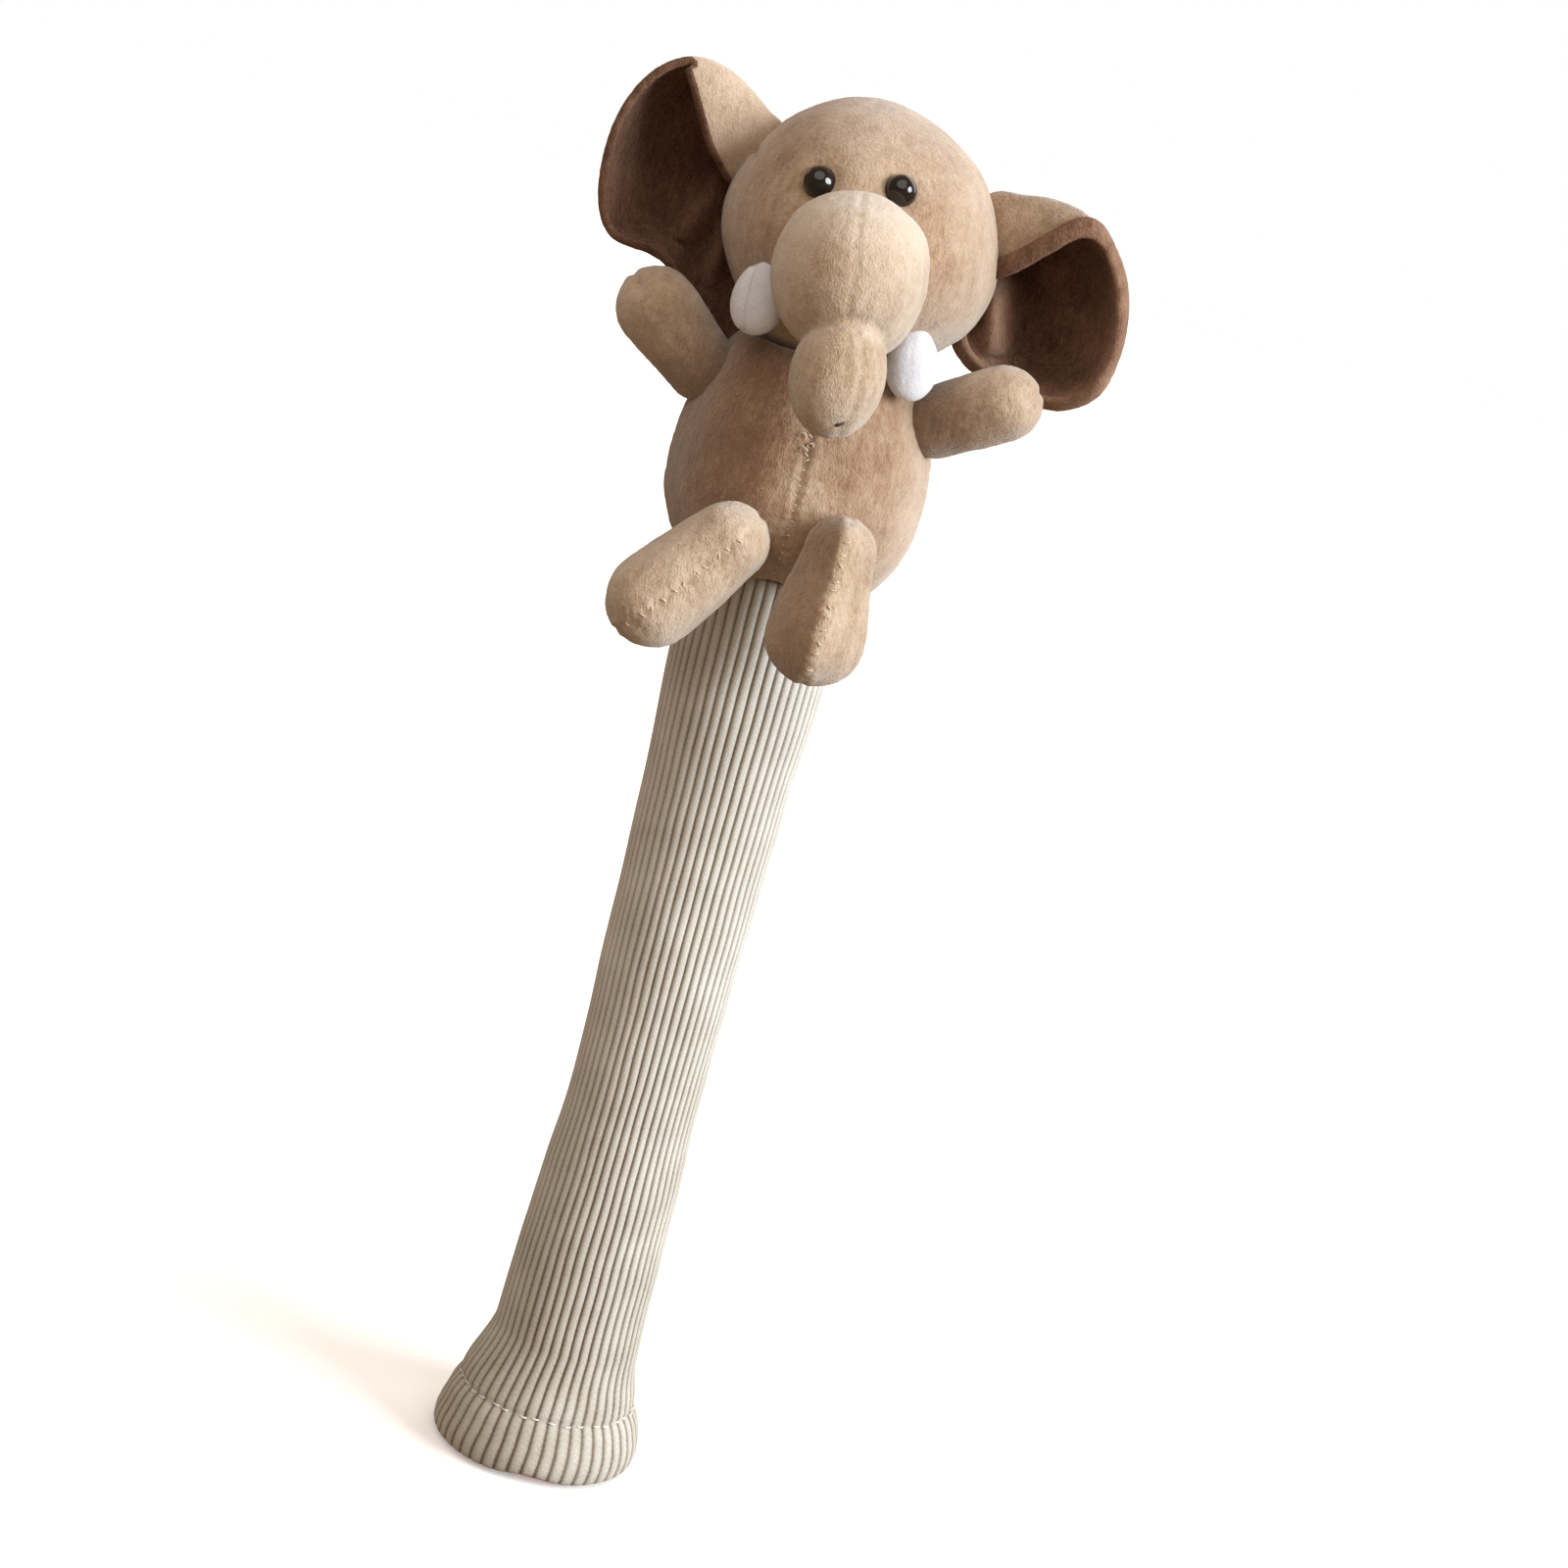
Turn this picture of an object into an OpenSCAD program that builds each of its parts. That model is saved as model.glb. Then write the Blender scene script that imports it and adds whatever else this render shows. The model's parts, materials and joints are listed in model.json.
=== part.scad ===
// Long soft headcover for a golf driver: a ribbed knit sleeve that carries a
// stuffed elephant figure. Z runs up the sleeve, the figure faces -Y, and its
// own left side is at +X. Z = 0 is the plane of the sleeve's open mouth.
// All sizes are in millimetres and degrees.

/* [Sleeve] */
// Height of the waist, where the figure bends on the sleeve
waist_z = 350; // [345:1:365]
// Outer radius of the rolled rim at the mouth
rim_r = 38.5; // [37.5:0.5:40]
// Inner radius of the straight stretch round the club's shaft
bore_r = 21.4; // [20.4:0.1:21.6]
// Number of running stitches round the hem
hem_stitch_count = 36; // [24:1:40]
// Width of the woven label inside the mouth
label_w = 14; // [8:1:16]

/* [Body] */
// Thickness of the plush skin
skin_t = 1.8; // [1.4:0.1:2]
// Radius of the ball shape that the waist turns on
waist_ball_r = 32.6; // [32:0.1:32.7]
// Number of ladder stitches down the belly seam
belly_stitch_count = 15; // [8:1:18]

/* [Head] */
// Outer radius of the head
head_r = 49; // [47:0.5:49]
// Height of the centre of the head above the waist
head_up = 110; // [110:0.5:112]
// Roll of the face towards the figure's own left
face_roll = 11; // [0:1:12]
// Diameter of each eye
eye_d = 11; // [9:0.5:12]
// Half the distance between the eyes
eye_half_gap = 14.5; // [13:0.5:17]
// Length of each felt tusk
tusk_len = 28; // [24:1:30]

/* [Trunk] */
// Radius of the root of the trunk
trunk_r = 26; // [24:0.5:27]
// Radius of the trunk where it bends
trunk_bend_r = 16.4; // [14:0.2:16.6]
// Radius of the rounded tip of the trunk
trunk_tip_r = 15; // [12:0.5:15.5]
// Length from the bend to the centre of the rounded tip
trunk_tip_len = 22; // [18:0.5:24]

/* [Ears] */
// Half the height of each ear
ear_half_h = 35.5; // [32:0.5:36]
// Half the width of each ear
ear_half_w = 28; // [25:0.5:29]
// Radius of the bowl that each ear is curved to
ear_bowl_r = 45; // [44:0.5:50]
// Thickness of one ply of an ear
ear_ply_t = 1.8; // [1.2:0.1:2]

/* [Limbs] */
// Radius of an arm at the shoulder
arm_root_r = 10; // [8:0.5:10]
// Radius of the rounded end of an arm
arm_tip_r = 15; // [12:0.5:15.5]
// Length from the shoulder to the centre of the arm's rounded end
arm_len = 16; // [12:0.5:17]
// Rise of the arms above level
arm_rise = 28; // [20:1:30]
// Radius of a leg at the hip
leg_root_r = 13; // [11:0.5:13]
// Radius of the rounded end of a leg
leg_tip_r = 16.5; // [14:0.5:17]
// Length from the hip to the centre of the leg's rounded end
leg_len = 36; // [30:1:37]
// Outward splay of the right leg
right_leg_splay = 27; // [0:1:28]

/* [Hidden] */
// Fineness of the round faces, and of the round ends of the limbs
$fn = 64;
limb_arc_steps = 8;
// Reach of the blocks that cut a shape in half
half_block = 240;
// Radius of the thread in every visible stitch
thread_r = 0.35;
// Space between a stitch and the cloth that it crosses
thread_gap = 0.06;
// Length of one stitch
stitch_len = 3.4;
// Clearance round a part that turns in its socket
turn_gap = 0.35;

// Colours of the materials
knit_colour = [0.80, 0.76, 0.67];
plush_colour = [0.62, 0.50, 0.40];
pale_plush_colour = [0.74, 0.64, 0.52];
brown_plush_colour = [0.26, 0.16, 0.11];
felt_colour = [0.95, 0.95, 0.96];
filling_colour = [0.93, 0.93, 0.91];
lining_colour = [0.85, 0.82, 0.76];
gloss_colour = [0.04, 0.035, 0.035];
thread_colour = [0.88, 0.84, 0.76];
dark_thread_colour = [0.30, 0.22, 0.16];
label_colour = [0.72, 0.22, 0.22];

// Radius of the fold of cloth at the rim
rim_fold_r = 3.2;
// Section of the sleeve: the fold, up the outside, then down the inside
rim_fold = [for (a = [180:30:360]) [rim_r - rim_fold_r + rim_fold_r * cos(a), rim_fold_r + rim_fold_r * sin(a)]];
sleeve_outside = [
    [rim_r, 7],
    [rim_r - 1.3, 12.6],
    [rim_r - 3.5, 18],
    [33, 23.5],
    [31.6, 29],
    [30, 34],
    [28.4, 40],
    [27.6, 45],
    [27, 61],
    [26.6, 83],
    [25.8, 104],
    [24.1, 135],
    [24.1, 166],
    [25, 207],
    [26.1, 258],
    [28.1, waist_z - 53],
    [29, waist_z - 16.1]
];
sleeve_inside = [
    [25.2, waist_z - 21.7],
    [25.2, waist_z - 65],
    [22.6, 268],
    [22.6, 212],
    [bore_r, 196],
    [bore_r, 118],
    [23.6, 96],
    [23.6, 47],
    [25.4, 40],
    [28.8, 29.5],
    [29.6, 26],
    [27.1, 25.5],
    [27.2, 23.5],
    [29, 18],
    [31, 12.6],
    [rim_r - 2 * rim_fold_r, 7]
];
// Height of the hem's line of stitches and the sleeve's radius there
hem_stitch_z = 22.5;
hem_stitch_r = 33.37;
// Slope of the sleeve's side at the hem
hem_slope = 20;
// The label stands inside the mouth
label_h = 12;
label_t = 0.5;
label_drop = 1;
label_y = -29.7;

// Section of the body, as radius and height above the waist
waist_ring_r = 22;
waist_ball = [for (i = [0:4])
    let (a = 47.4 - 8.4 * i) [waist_ball_r * cos(a), -waist_ball_r * sin(a)]];
body_side = [
    [33.5, -7.6],
    [36, -6],
    [40, 0],
    [43.5, 8.5],
    [45.3, 18],
    [45.5, 30],
    [43.4, 43],
    [39, 53.5],
    [32, 58.6],
    [24, 59.6],
    [14, 58.9],
    [0, 58.9]
];
waist_ball_in = [for (i = [0:4])
    let (a = 40.6 - 6.7 * i) [(waist_ball_r - skin_t) * cos(a), -(waist_ball_r - skin_t) * sin(a)]];
waist_ring_top = -sqrt(pow(waist_ball_r - skin_t, 2) - pow(waist_ring_r, 2));
body_inside = [
    [31.8, -7.6 + skin_t],
    [34.7, -4.6],
    [40 - skin_t, 0.8],
    [43.5 - skin_t, 9],
    [45.3 - skin_t, 18.2],
    [45.5 - skin_t, 29.8],
    [43.4 - skin_t, 42.3],
    [39 - 0.8 * skin_t, 52.2],
    [31.5, 58.6 - skin_t],
    [24, 59.6 - skin_t],
    [14, 58.9 - skin_t],
    [0, 58.9 - skin_t]
];
body_outline = concat(waist_ball, body_side);
body_core = concat([[waist_ring_r, waist_ring_top]], waist_ball_in, body_inside);
// Section of the club's pocket, outside and inside of its lining
lining_t = 1.2;
lining_bottom = -23.8;
pocket_outside = [
    [0, 49],
    [26, 47],
    [34.2, 38],
    [34.2, 6],
    [waist_ring_r, -20]
];
pocket_inside = [
    [waist_ring_r - lining_t, -19.7],
    [33, 6.3],
    [33, 37.5],
    [25.3, 45.8],
    [0, 49 - lining_t]
];
// Heights over which the belly seam is closed by hand
belly_stitch_low = -1;
belly_stitch_high = 46;

// Head
head_z = waist_z + head_up;
eye_up = 21;
eye_shank_r = 2.2;
eye_shank_len = 10;
eye_sink = 0.4;
washer_r = 7;
washer_t = 2;
washer_depth = 4.4;
eye_out = atan2(eye_half_gap, sqrt(pow(head_r, 2) - pow(eye_half_gap, 2) - pow(eye_up, 2)));
eye_rise = asin(eye_up / head_r);
tusk_top_r = 8;
tusk_tip_r = 6.5;
tusk_lean = 27;
right_tusk_at = [-27.2, -36, -25.5];
left_tusk_at = [28.5, -27, -33.5];

// Trunk, placed in the rolled face
trunk_root_at = [0, -55, -5];
trunk_bend_at = [0, -70, -24.4];
trunk_back_swing = 8;
tip_stitch_r = 0.5;
tip_stitch_angle = 44;

// Ears
right_ear_at = [-65, 121];
left_ear_at = [67.5, 109];
ear_bowl_y = -23;
ear_hinge_y = 10;
ear_hinge_out = 0.6;
ear_front_y = -12;
ear_depth = 40;
ear_swing = [-25, -12, 0, 12];

// Limbs, as hinge points above the waist
shoulder_x = 46;
shoulder_y = -10;
shoulder_up = 60.3;
arm_forward = 30;
right_hip_at = [-13, -55.6, 10.1];
left_hip_at = [21.4, -53.8, 14.6];
leg_stitch_count = 8;
leg_stitch_step = 5;

// One straight stitch lying along X
module stitch(radius = thread_r, length = stitch_len) {
    rotate([0, 90, 0])
        cylinder(r = radius, h = length, center = true, $fn = 16);
}

// Block that keeps only the side of a shape at the given sign of X or Y
module half_x(sign) {
    translate([sign * half_block / 2, 0, 0])
        cube(half_block, center = true);
}

module half_y(sign) {
    translate([0, sign * half_block / 2, 0])
        cube(half_block, center = true);
}

// Half section of a round-ended tapered limb along Z, its root ball centred on
// the hinge, drawn in from the limb's surface by the inset
function limb_section(root_r, tip_r, length, inset = 0) =
    let (tangent = -asin((tip_r - root_r) / length))
    concat(
        [for (i = [0:limb_arc_steps])
            let (a = -90 + (90 + tangent) * i / limb_arc_steps)
            [(root_r - inset) * cos(a), (root_r - inset) * sin(a)]],
        [for (i = [0:limb_arc_steps])
            let (a = tangent + (90 - tangent) * i / limb_arc_steps)
            [(tip_r - inset) * cos(a), length + (tip_r - inset) * sin(a)]]
    );

// Surface radius of a limb at a distance along it
function limb_side(root_r, tip_r, length, along) =
    let (taper = (tip_r - root_r) / length) (root_r + along * taper) / sqrt(1 - pow(taper, 2));

// Whole limb, or its filling when drawn in by the skin
module limb(root_r, tip_r, length, inset = 0) {
    rotate_extrude()
        polygon(limb_section(root_r, tip_r, length, inset));
}

// Skin of half a limb, from the given angle round its axis
module limb_panel(root_r, tip_r, length, turn) {
    inside = limb_section(root_r, tip_r, length, skin_t);
    rotate([0, 0, turn])
        rotate_extrude(angle = 180)
            polygon(concat(
                limb_section(root_r, tip_r, length),
                [for (i = [len(inside) - 1:-1:0]) inside[i]]
            ));
}

// Sleeve
module knit_sleeve() {
    color(knit_colour)
        rotate_extrude($fn = 96)
            polygon(concat(rim_fold, sleeve_outside, sleeve_inside));
}

module hem_stitches() {
    reach = hem_stitch_r + thread_r / cos(hem_slope) + thread_gap;
    color(thread_colour)
        for (i = [0:hem_stitch_count - 1])
            rotate([0, 0, i * 360 / hem_stitch_count])
                translate([0, -reach, hem_stitch_z])
                    stitch();
}

module woven_label() {
    color(label_colour)
        translate([-label_w / 2, label_y - label_t, -label_drop])
            cube([label_w, label_t, label_h]);
}

// Body of the figure
module torso_panel(turn) {
    color(plush_colour)
        translate([0, 0, waist_z])
            rotate([0, 0, turn])
                rotate_extrude(angle = 90)
                    polygon(concat(body_outline, [for (i = [len(body_core) - 1:-1:0]) body_core[i]]));
}

module torso_front_left() {
    torso_panel(270);
}

module torso_front_right() {
    torso_panel(180);
}

module torso_back_left() {
    torso_panel(0);
}

module torso_back_right() {
    torso_panel(90);
}

module torso_stuffing() {
    color(filling_colour)
        translate([0, 0, waist_z])
            rotate_extrude()
                polygon(concat(body_core, pocket_outside));
}

module pocket_lining() {
    color(lining_colour)
        translate([0, 0, waist_z])
            rotate_extrude()
                polygon(concat(
                    [for (i = [len(pocket_outside) - 1:-1:0]) pocket_outside[i]],
                    [for (i = [len(pocket_inside) - 1:-1:0]) pocket_inside[i]],
                    [[waist_ring_r - lining_t, lining_bottom], [waist_ring_r, lining_bottom]]
                ));
}

module belly_stitches() {
    side = [for (p = body_side) if (p[1] < 56) [p[1], p[0]]];
    step = (belly_stitch_high - belly_stitch_low) / (belly_stitch_count - 1);
    color(thread_colour)
        for (i = [0:belly_stitch_count - 1]) {
            up = belly_stitch_low + i * step;
            slope = lookup(up + 1, side) - lookup(up - 1, side);
            reach = lookup(up, side) + thread_r * sqrt(1 + pow(slope / 2, 2)) + 2 * thread_gap;
            translate([0, -reach, waist_z + up])
                stitch();
        }
}

// Places a child at the centre of the head, rolled with the face
module face() {
    translate([0, 0, head_z])
        rotate([0, -face_roll, 0])
            children();
}

// Head
module head_skin() {
    difference() {
        sphere(r = head_r);
        sphere(r = head_r - skin_t);
    }
}

module head_front() {
    color(plush_colour)
        difference() {
            translate([0, 0, head_z])
                intersection() {
                    head_skin();
                    half_y(-1);
                }
            eye(1);
            eye(-1);
        }
}

module head_back(sign) {
    color(plush_colour)
        translate([0, 0, head_z])
            intersection() {
                head_skin();
                half_y(1);
                half_x(sign);
            }
}

module head_back_left() {
    head_back(1);
}

module head_back_right() {
    head_back(-1);
}

module head_stuffing() {
    color(filling_colour)
        difference() {
            translate([0, 0, head_z])
                sphere(r = head_r - skin_t);
            eye(1);
            eye(-1);
            eye_washer(1);
            eye_washer(-1);
        }
}

// Axis of one eye, with Z pointing out of the head
module eye_axis(sign) {
    face()
        rotate([0, 0, sign * eye_out])
            rotate([90 - eye_rise, 0, 0])
                children();
}

module eye(sign) {
    eye_axis(sign) {
        difference() {
            translate([0, 0, head_r - eye_sink])
                sphere(r = eye_d / 2);
            sphere(r = head_r - eye_sink);
        }
        translate([0, 0, head_r - eye_shank_len])
            cylinder(r = eye_shank_r, h = eye_shank_len);
    }
}

module eye_washer(sign) {
    eye_axis(sign)
        translate([0, 0, head_r - washer_depth])
            difference() {
                cylinder(r = washer_r, h = washer_t);
                translate([0, 0, -1])
                    cylinder(r = eye_shank_r, h = washer_t + 2);
            }
}

module eye_left() {
    color(gloss_colour)
        eye(1);
}

module eye_right() {
    color(gloss_colour)
        eye(-1);
}

module eye_washers() {
    color(filling_colour) {
        eye_washer(1);
        eye_washer(-1);
    }
}

module tusk(at) {
    color(felt_colour)
        difference() {
            translate([0, 0, head_z])
                translate(at)
                    rotate([0, 180 - tusk_lean, 0])
                        translate([0, 0, tusk_top_r - tusk_len / 2])
                            limb(tusk_top_r, tusk_tip_r, tusk_len - tusk_top_r - tusk_tip_r);
            translate([0, 0, head_z])
                sphere(r = head_r);
        }
}

module tusk_left() {
    tusk(left_tusk_at);
}

module tusk_right() {
    tusk(right_tusk_at);
}

// Trunk
module trunk_root(radius) {
    face()
        difference() {
            translate(trunk_root_at)
                sphere(r = radius);
            sphere(r = head_r);
            translate(trunk_bend_at)
                sphere(r = trunk_bend_r + turn_gap);
            for (swing = [0, trunk_back_swing])
                translate(trunk_bend_at)
                    rotate([180 + swing, 0, 0])
                        cylinder(r = trunk_bend_r + turn_gap, h = half_block);
        }
}

module trunk_root_panel(sign) {
    color(pale_plush_colour)
        difference() {
            intersection() {
                trunk_root(trunk_r);
                face()
                    half_x(sign);
            }
            face()
                translate(trunk_root_at)
                    sphere(r = trunk_r - skin_t);
        }
}

module trunk_root_left() {
    trunk_root_panel(1);
}

module trunk_root_right() {
    trunk_root_panel(-1);
}

module trunk_root_stuffing() {
    color(filling_colour)
        trunk_root(trunk_r - skin_t);
}

// Places a child at the bend of the trunk, with Z running down to the tip
module trunk_bend() {
    face()
        translate(trunk_bend_at)
            rotate([180, 0, 0])
                children();
}

module trunk_tip_panel(sign) {
    color(pale_plush_colour)
        trunk_bend()
            limb_panel(trunk_bend_r, trunk_tip_r, trunk_tip_len, -sign * 90);
}

module trunk_tip_left() {
    trunk_tip_panel(1);
}

module trunk_tip_right() {
    trunk_tip_panel(-1);
}

module trunk_tip_stuffing() {
    color(filling_colour)
        trunk_bend()
            limb(trunk_bend_r, trunk_tip_r, trunk_tip_len, skin_t);
}

module trunk_tip_stitch() {
    color(dark_thread_colour)
        trunk_bend()
            translate([0, 0, trunk_tip_len])
                rotate([tip_stitch_angle, 0, 0])
                    translate([0, trunk_tip_r + tip_stitch_r + thread_gap, 0])
                        stitch(tip_stitch_r);
}

// Ears: a cupped oval, open to the front, cut clear of the head as it swings
module ear_ply(sign, at, near_r, far_r) {
    difference() {
        intersection() {
            translate([at[0], ear_bowl_y, waist_z + at[1]])
                difference() {
                    sphere(r = far_r);
                    sphere(r = near_r);
                }
            translate([at[0], ear_front_y + ear_depth, waist_z + at[1]])
                rotate([90, 0, 0])
                    scale([ear_half_w / ear_half_h, 1, 1])
                        cylinder(r = ear_half_h, h = ear_depth);
        }
        translate([sign * (head_r + ear_hinge_out), ear_hinge_y, head_z])
            for (swing = ear_swing)
                rotate([0, 0, sign * swing])
                    translate([-sign * (head_r + ear_hinge_out), -ear_hinge_y, 0])
                        sphere(r = head_r + turn_gap);
    }
}

module ear_front(sign, at) {
    color(brown_plush_colour)
        ear_ply(sign, at, ear_bowl_r - ear_ply_t, ear_bowl_r);
}

module ear_back(sign, at) {
    color(plush_colour)
        ear_ply(sign, at, ear_bowl_r, ear_bowl_r + ear_ply_t);
}

module ear_left_front() {
    ear_front(1, left_ear_at);
}

module ear_left_back() {
    ear_back(1, left_ear_at);
}

module ear_right_front() {
    ear_front(-1, right_ear_at);
}

module ear_right_back() {
    ear_back(-1, right_ear_at);
}

// Arms
module shoulder(sign) {
    translate([sign * shoulder_x, shoulder_y, waist_z + shoulder_up])
        rotate([0, sign * (90 - arm_rise), -sign * arm_forward])
            children();
}

module arm_panel(sign, turn) {
    color(plush_colour)
        shoulder(sign)
            limb_panel(arm_root_r, arm_tip_r, arm_len, turn);
}

module arm_filling(sign) {
    color(filling_colour)
        shoulder(sign)
            limb(arm_root_r, arm_tip_r, arm_len, skin_t);
}

module arm_left_front() {
    arm_panel(1, 180);
}

module arm_left_back() {
    arm_panel(1, 0);
}

module arm_left_stuffing() {
    arm_filling(1);
}

module arm_right_front() {
    arm_panel(-1, 180);
}

module arm_right_back() {
    arm_panel(-1, 0);
}

module arm_right_stuffing() {
    arm_filling(-1);
}

// Legs: Z runs down the leg, and the seam is along its front
module hip(at, splay) {
    translate([at[0], at[1], waist_z + at[2]])
        rotate([0, 180 + splay, 0])
            children();
}

module leg_panel(at, splay, turn) {
    color(pale_plush_colour)
        hip(at, splay)
            limb_panel(leg_root_r, leg_tip_r, leg_len, turn);
}

module leg_filling(at, splay) {
    color(filling_colour)
        hip(at, splay)
            limb(leg_root_r, leg_tip_r, leg_len, skin_t);
}

module leg_stitching(at, splay) {
    color(thread_colour)
        hip(at, splay)
            for (i = [0:leg_stitch_count - 1]) {
                along = i * leg_stitch_step;
                reach = limb_side(leg_root_r, leg_tip_r, leg_len, along) + thread_r + thread_gap;
                translate([0, -reach, along])
                    stitch();
            }
}

module leg_left_inner() {
    leg_panel(left_hip_at, 0, -90);
}

module leg_left_outer() {
    leg_panel(left_hip_at, 0, 90);
}

module leg_left_stuffing() {
    leg_filling(left_hip_at, 0);
}

module leg_left_stitches() {
    leg_stitching(left_hip_at, 0);
}

module leg_right_inner() {
    leg_panel(right_hip_at, right_leg_splay, 90);
}

module leg_right_outer() {
    leg_panel(right_hip_at, right_leg_splay, -90);
}

module leg_right_stuffing() {
    leg_filling(right_hip_at, right_leg_splay);
}

module leg_right_stitches() {
    leg_stitching(right_hip_at, right_leg_splay);
}

knit_sleeve();
hem_stitches();
woven_label();
torso_front_left();
torso_front_right();
torso_back_left();
torso_back_right();
torso_stuffing();
pocket_lining();
belly_stitches();
head_front();
head_back_left();
head_back_right();
head_stuffing();
eye_left();
eye_right();
eye_washers();
tusk_left();
tusk_right();
trunk_root_left();
trunk_root_right();
trunk_root_stuffing();
trunk_tip_left();
trunk_tip_right();
trunk_tip_stuffing();
trunk_tip_stitch();
ear_left_front();
ear_left_back();
ear_right_front();
ear_right_back();
arm_left_front();
arm_left_back();
arm_left_stuffing();
arm_right_front();
arm_right_back();
arm_right_stuffing();
leg_left_inner();
leg_left_outer();
leg_left_stuffing();
leg_left_stitches();
leg_right_inner();
leg_right_outer();
leg_right_stuffing();
leg_right_stitches();
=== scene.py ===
import json
import math

import bmesh
import bpy
import numpy as np
from mathutils import Matrix, Vector, noise
from mathutils.bvhtree import BVHTree


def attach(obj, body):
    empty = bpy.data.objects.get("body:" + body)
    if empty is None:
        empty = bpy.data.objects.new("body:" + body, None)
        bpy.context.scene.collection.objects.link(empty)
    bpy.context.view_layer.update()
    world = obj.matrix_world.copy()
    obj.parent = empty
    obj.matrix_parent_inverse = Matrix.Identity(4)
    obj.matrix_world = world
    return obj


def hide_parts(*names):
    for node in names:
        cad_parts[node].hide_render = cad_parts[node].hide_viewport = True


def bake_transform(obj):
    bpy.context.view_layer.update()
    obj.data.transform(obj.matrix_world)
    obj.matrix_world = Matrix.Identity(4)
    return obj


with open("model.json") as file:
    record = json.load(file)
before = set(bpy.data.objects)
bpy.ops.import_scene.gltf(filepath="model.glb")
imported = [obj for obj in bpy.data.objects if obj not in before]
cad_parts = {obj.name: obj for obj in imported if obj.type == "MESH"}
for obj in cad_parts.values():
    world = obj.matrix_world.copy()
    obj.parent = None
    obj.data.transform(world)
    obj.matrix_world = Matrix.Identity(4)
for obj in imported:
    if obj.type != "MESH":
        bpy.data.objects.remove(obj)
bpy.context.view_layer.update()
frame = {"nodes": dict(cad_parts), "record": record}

# Lengths are in millimetres in the part's own frame, and times MM in metres.
MM = 0.001
JOINTS = {j["name"]: np.array(j["pos_m"]) / MM for j in frame["record"]["behaviour"]["joints"]}
WAIST = JOINTS["waist_bend"][2]
HEAD = np.array([0.0, 0.0, WAIST + 110.0])
VIEWPOINT = np.array([23.4, -1122.7, 516.9])


# ---------------------------------------------------------------- materials
class Shader:
    """A new material with a Principled shader and short ways to add nodes."""

    def __init__(self, name, **sockets):
        self.mat = bpy.data.materials.new(name)
        self.mat.use_nodes = True
        self.tree = self.mat.node_tree
        self.tree.nodes.clear()
        self.bsdf = self.tree.nodes.new("ShaderNodeBsdfPrincipled")
        out = self.tree.nodes.new("ShaderNodeOutputMaterial")
        self.tree.links.new(self.bsdf.outputs[0], out.inputs[0])
        for key, value in sockets.items():
            self.bsdf.inputs[key.replace("_", " ")].default_value = value

    def feed(self, socket, value):
        """Sets a socket to a plain value, or links it to another node's output."""
        if hasattr(value, "links"):
            self.tree.links.new(value, socket)
        else:
            socket.default_value = value

    def node(self, kind, **inputs):
        n = self.tree.nodes.new(kind)
        for key, value in inputs.items():
            self.feed(n.inputs[key], value)
        return n

    def math(self, operation, a, b=0.0):
        n = self.tree.nodes.new("ShaderNodeMath")
        n.operation = operation
        self.feed(n.inputs[0], a)
        self.feed(n.inputs[1], b)
        return n.outputs[0]

    def total(self, *terms, plus=0.0):
        """Sum of outputs, each times its own weight, and a plain number."""
        whole = plus
        for value, weight in terms:
            whole = self.math("ADD", whole, self.math("MULTIPLY", value, weight))
        return whole

    def stored(self, name, output):
        """A value that the mesh stores at each vertex."""
        n = self.tree.nodes.new("ShaderNodeAttribute")
        n.attribute_name = name
        return n.outputs[output]

    def noise(self, where, scale, detail=2.0, rough=0.5):
        n = self.node("ShaderNodeTexNoise", Vector=where, Scale=scale, Detail=detail, Roughness=rough)
        return n.outputs[0]

    def ramp(self, value, *stops):
        n = self.tree.nodes.new("ShaderNodeValToRGB")
        band = n.color_ramp
        while len(band.elements) < len(stops):
            band.elements.new(0.5)
        for element, (at, colour) in zip(band.elements, stops):
            element.position = at
            element.color = (*colour, 1.0)
        self.feed(n.inputs[0], value)
        return n.outputs[0]

    def bump(self, height, strength, distance, under=None):
        n = self.node("ShaderNodeBump", Height=height, Strength=strength, Distance=distance)
        if under is not None:
            self.feed(n.inputs["Normal"], under)
        return n.outputs[0]

    def wire(self, colour=None, rough=None, normal=None):
        for name, source in (("Base Color", colour), ("Roughness", rough), ("Normal", normal)):
            if source is not None:
                self.feed(self.bsdf.inputs[name], source)
        return self.mat


def plush(name, deep, base, pale, sheen=0.6, pile=1.0, bloom=(0.94, 0.97, 1.0), rim=None):
    """Short cut pile: soft patches, tufts that lie downward, fine grain and a matt bloom, with painted light
    and shade from a stored value.
    """
    s = Shader(name, Sheen_Weight=sheen, Sheen_Roughness=0.6, Sheen_Tint=(*bloom, 1.0),
               Specular_IOR_Level=0.02)
    rest = s.stored("rest", "Vector")
    lay = s.node("ShaderNodeMapping", Vector=rest, Scale=(1.0, 1.0, 0.5)).outputs[0]
    nap = s.noise(rest, 38.0, 2.0, 0.5)
    patch = s.noise(lay, 150.0, 2.0, 0.55)
    tuft = s.noise(lay, 520.0, 2.0, 0.6)
    grain = s.noise(lay, 1700.0, 2.0, 0.7)
    # Painted light and shade stored at each vertex lift or lower the colour.
    painted_shading = s.stored("painted_shading", "Fac")
    shade = s.total((nap, 0.26), (patch, 0.24), (tuft, 0.24), (grain, 0.26), (painted_shading, 0.36))
    # The shadow stop is painted shade and the rim stop is painted light, both reached through the stored
    # painted shading.
    shadow = tuple(0.42 * c for c in deep)
    colour = s.ramp(shade, (0.10, shadow), (0.36, deep), (0.5, base), (0.64, pale), (0.96, rim or pale))
    normal = s.bump(patch, 0.25 * pile, 0.002)
    normal = s.bump(tuft, 0.4 * pile, 0.0012, normal)
    normal = s.bump(grain, 0.75 * pile, 0.0009, normal)
    return s.wire(colour, s.total((grain, 0.1), plus=0.9), normal)


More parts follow.
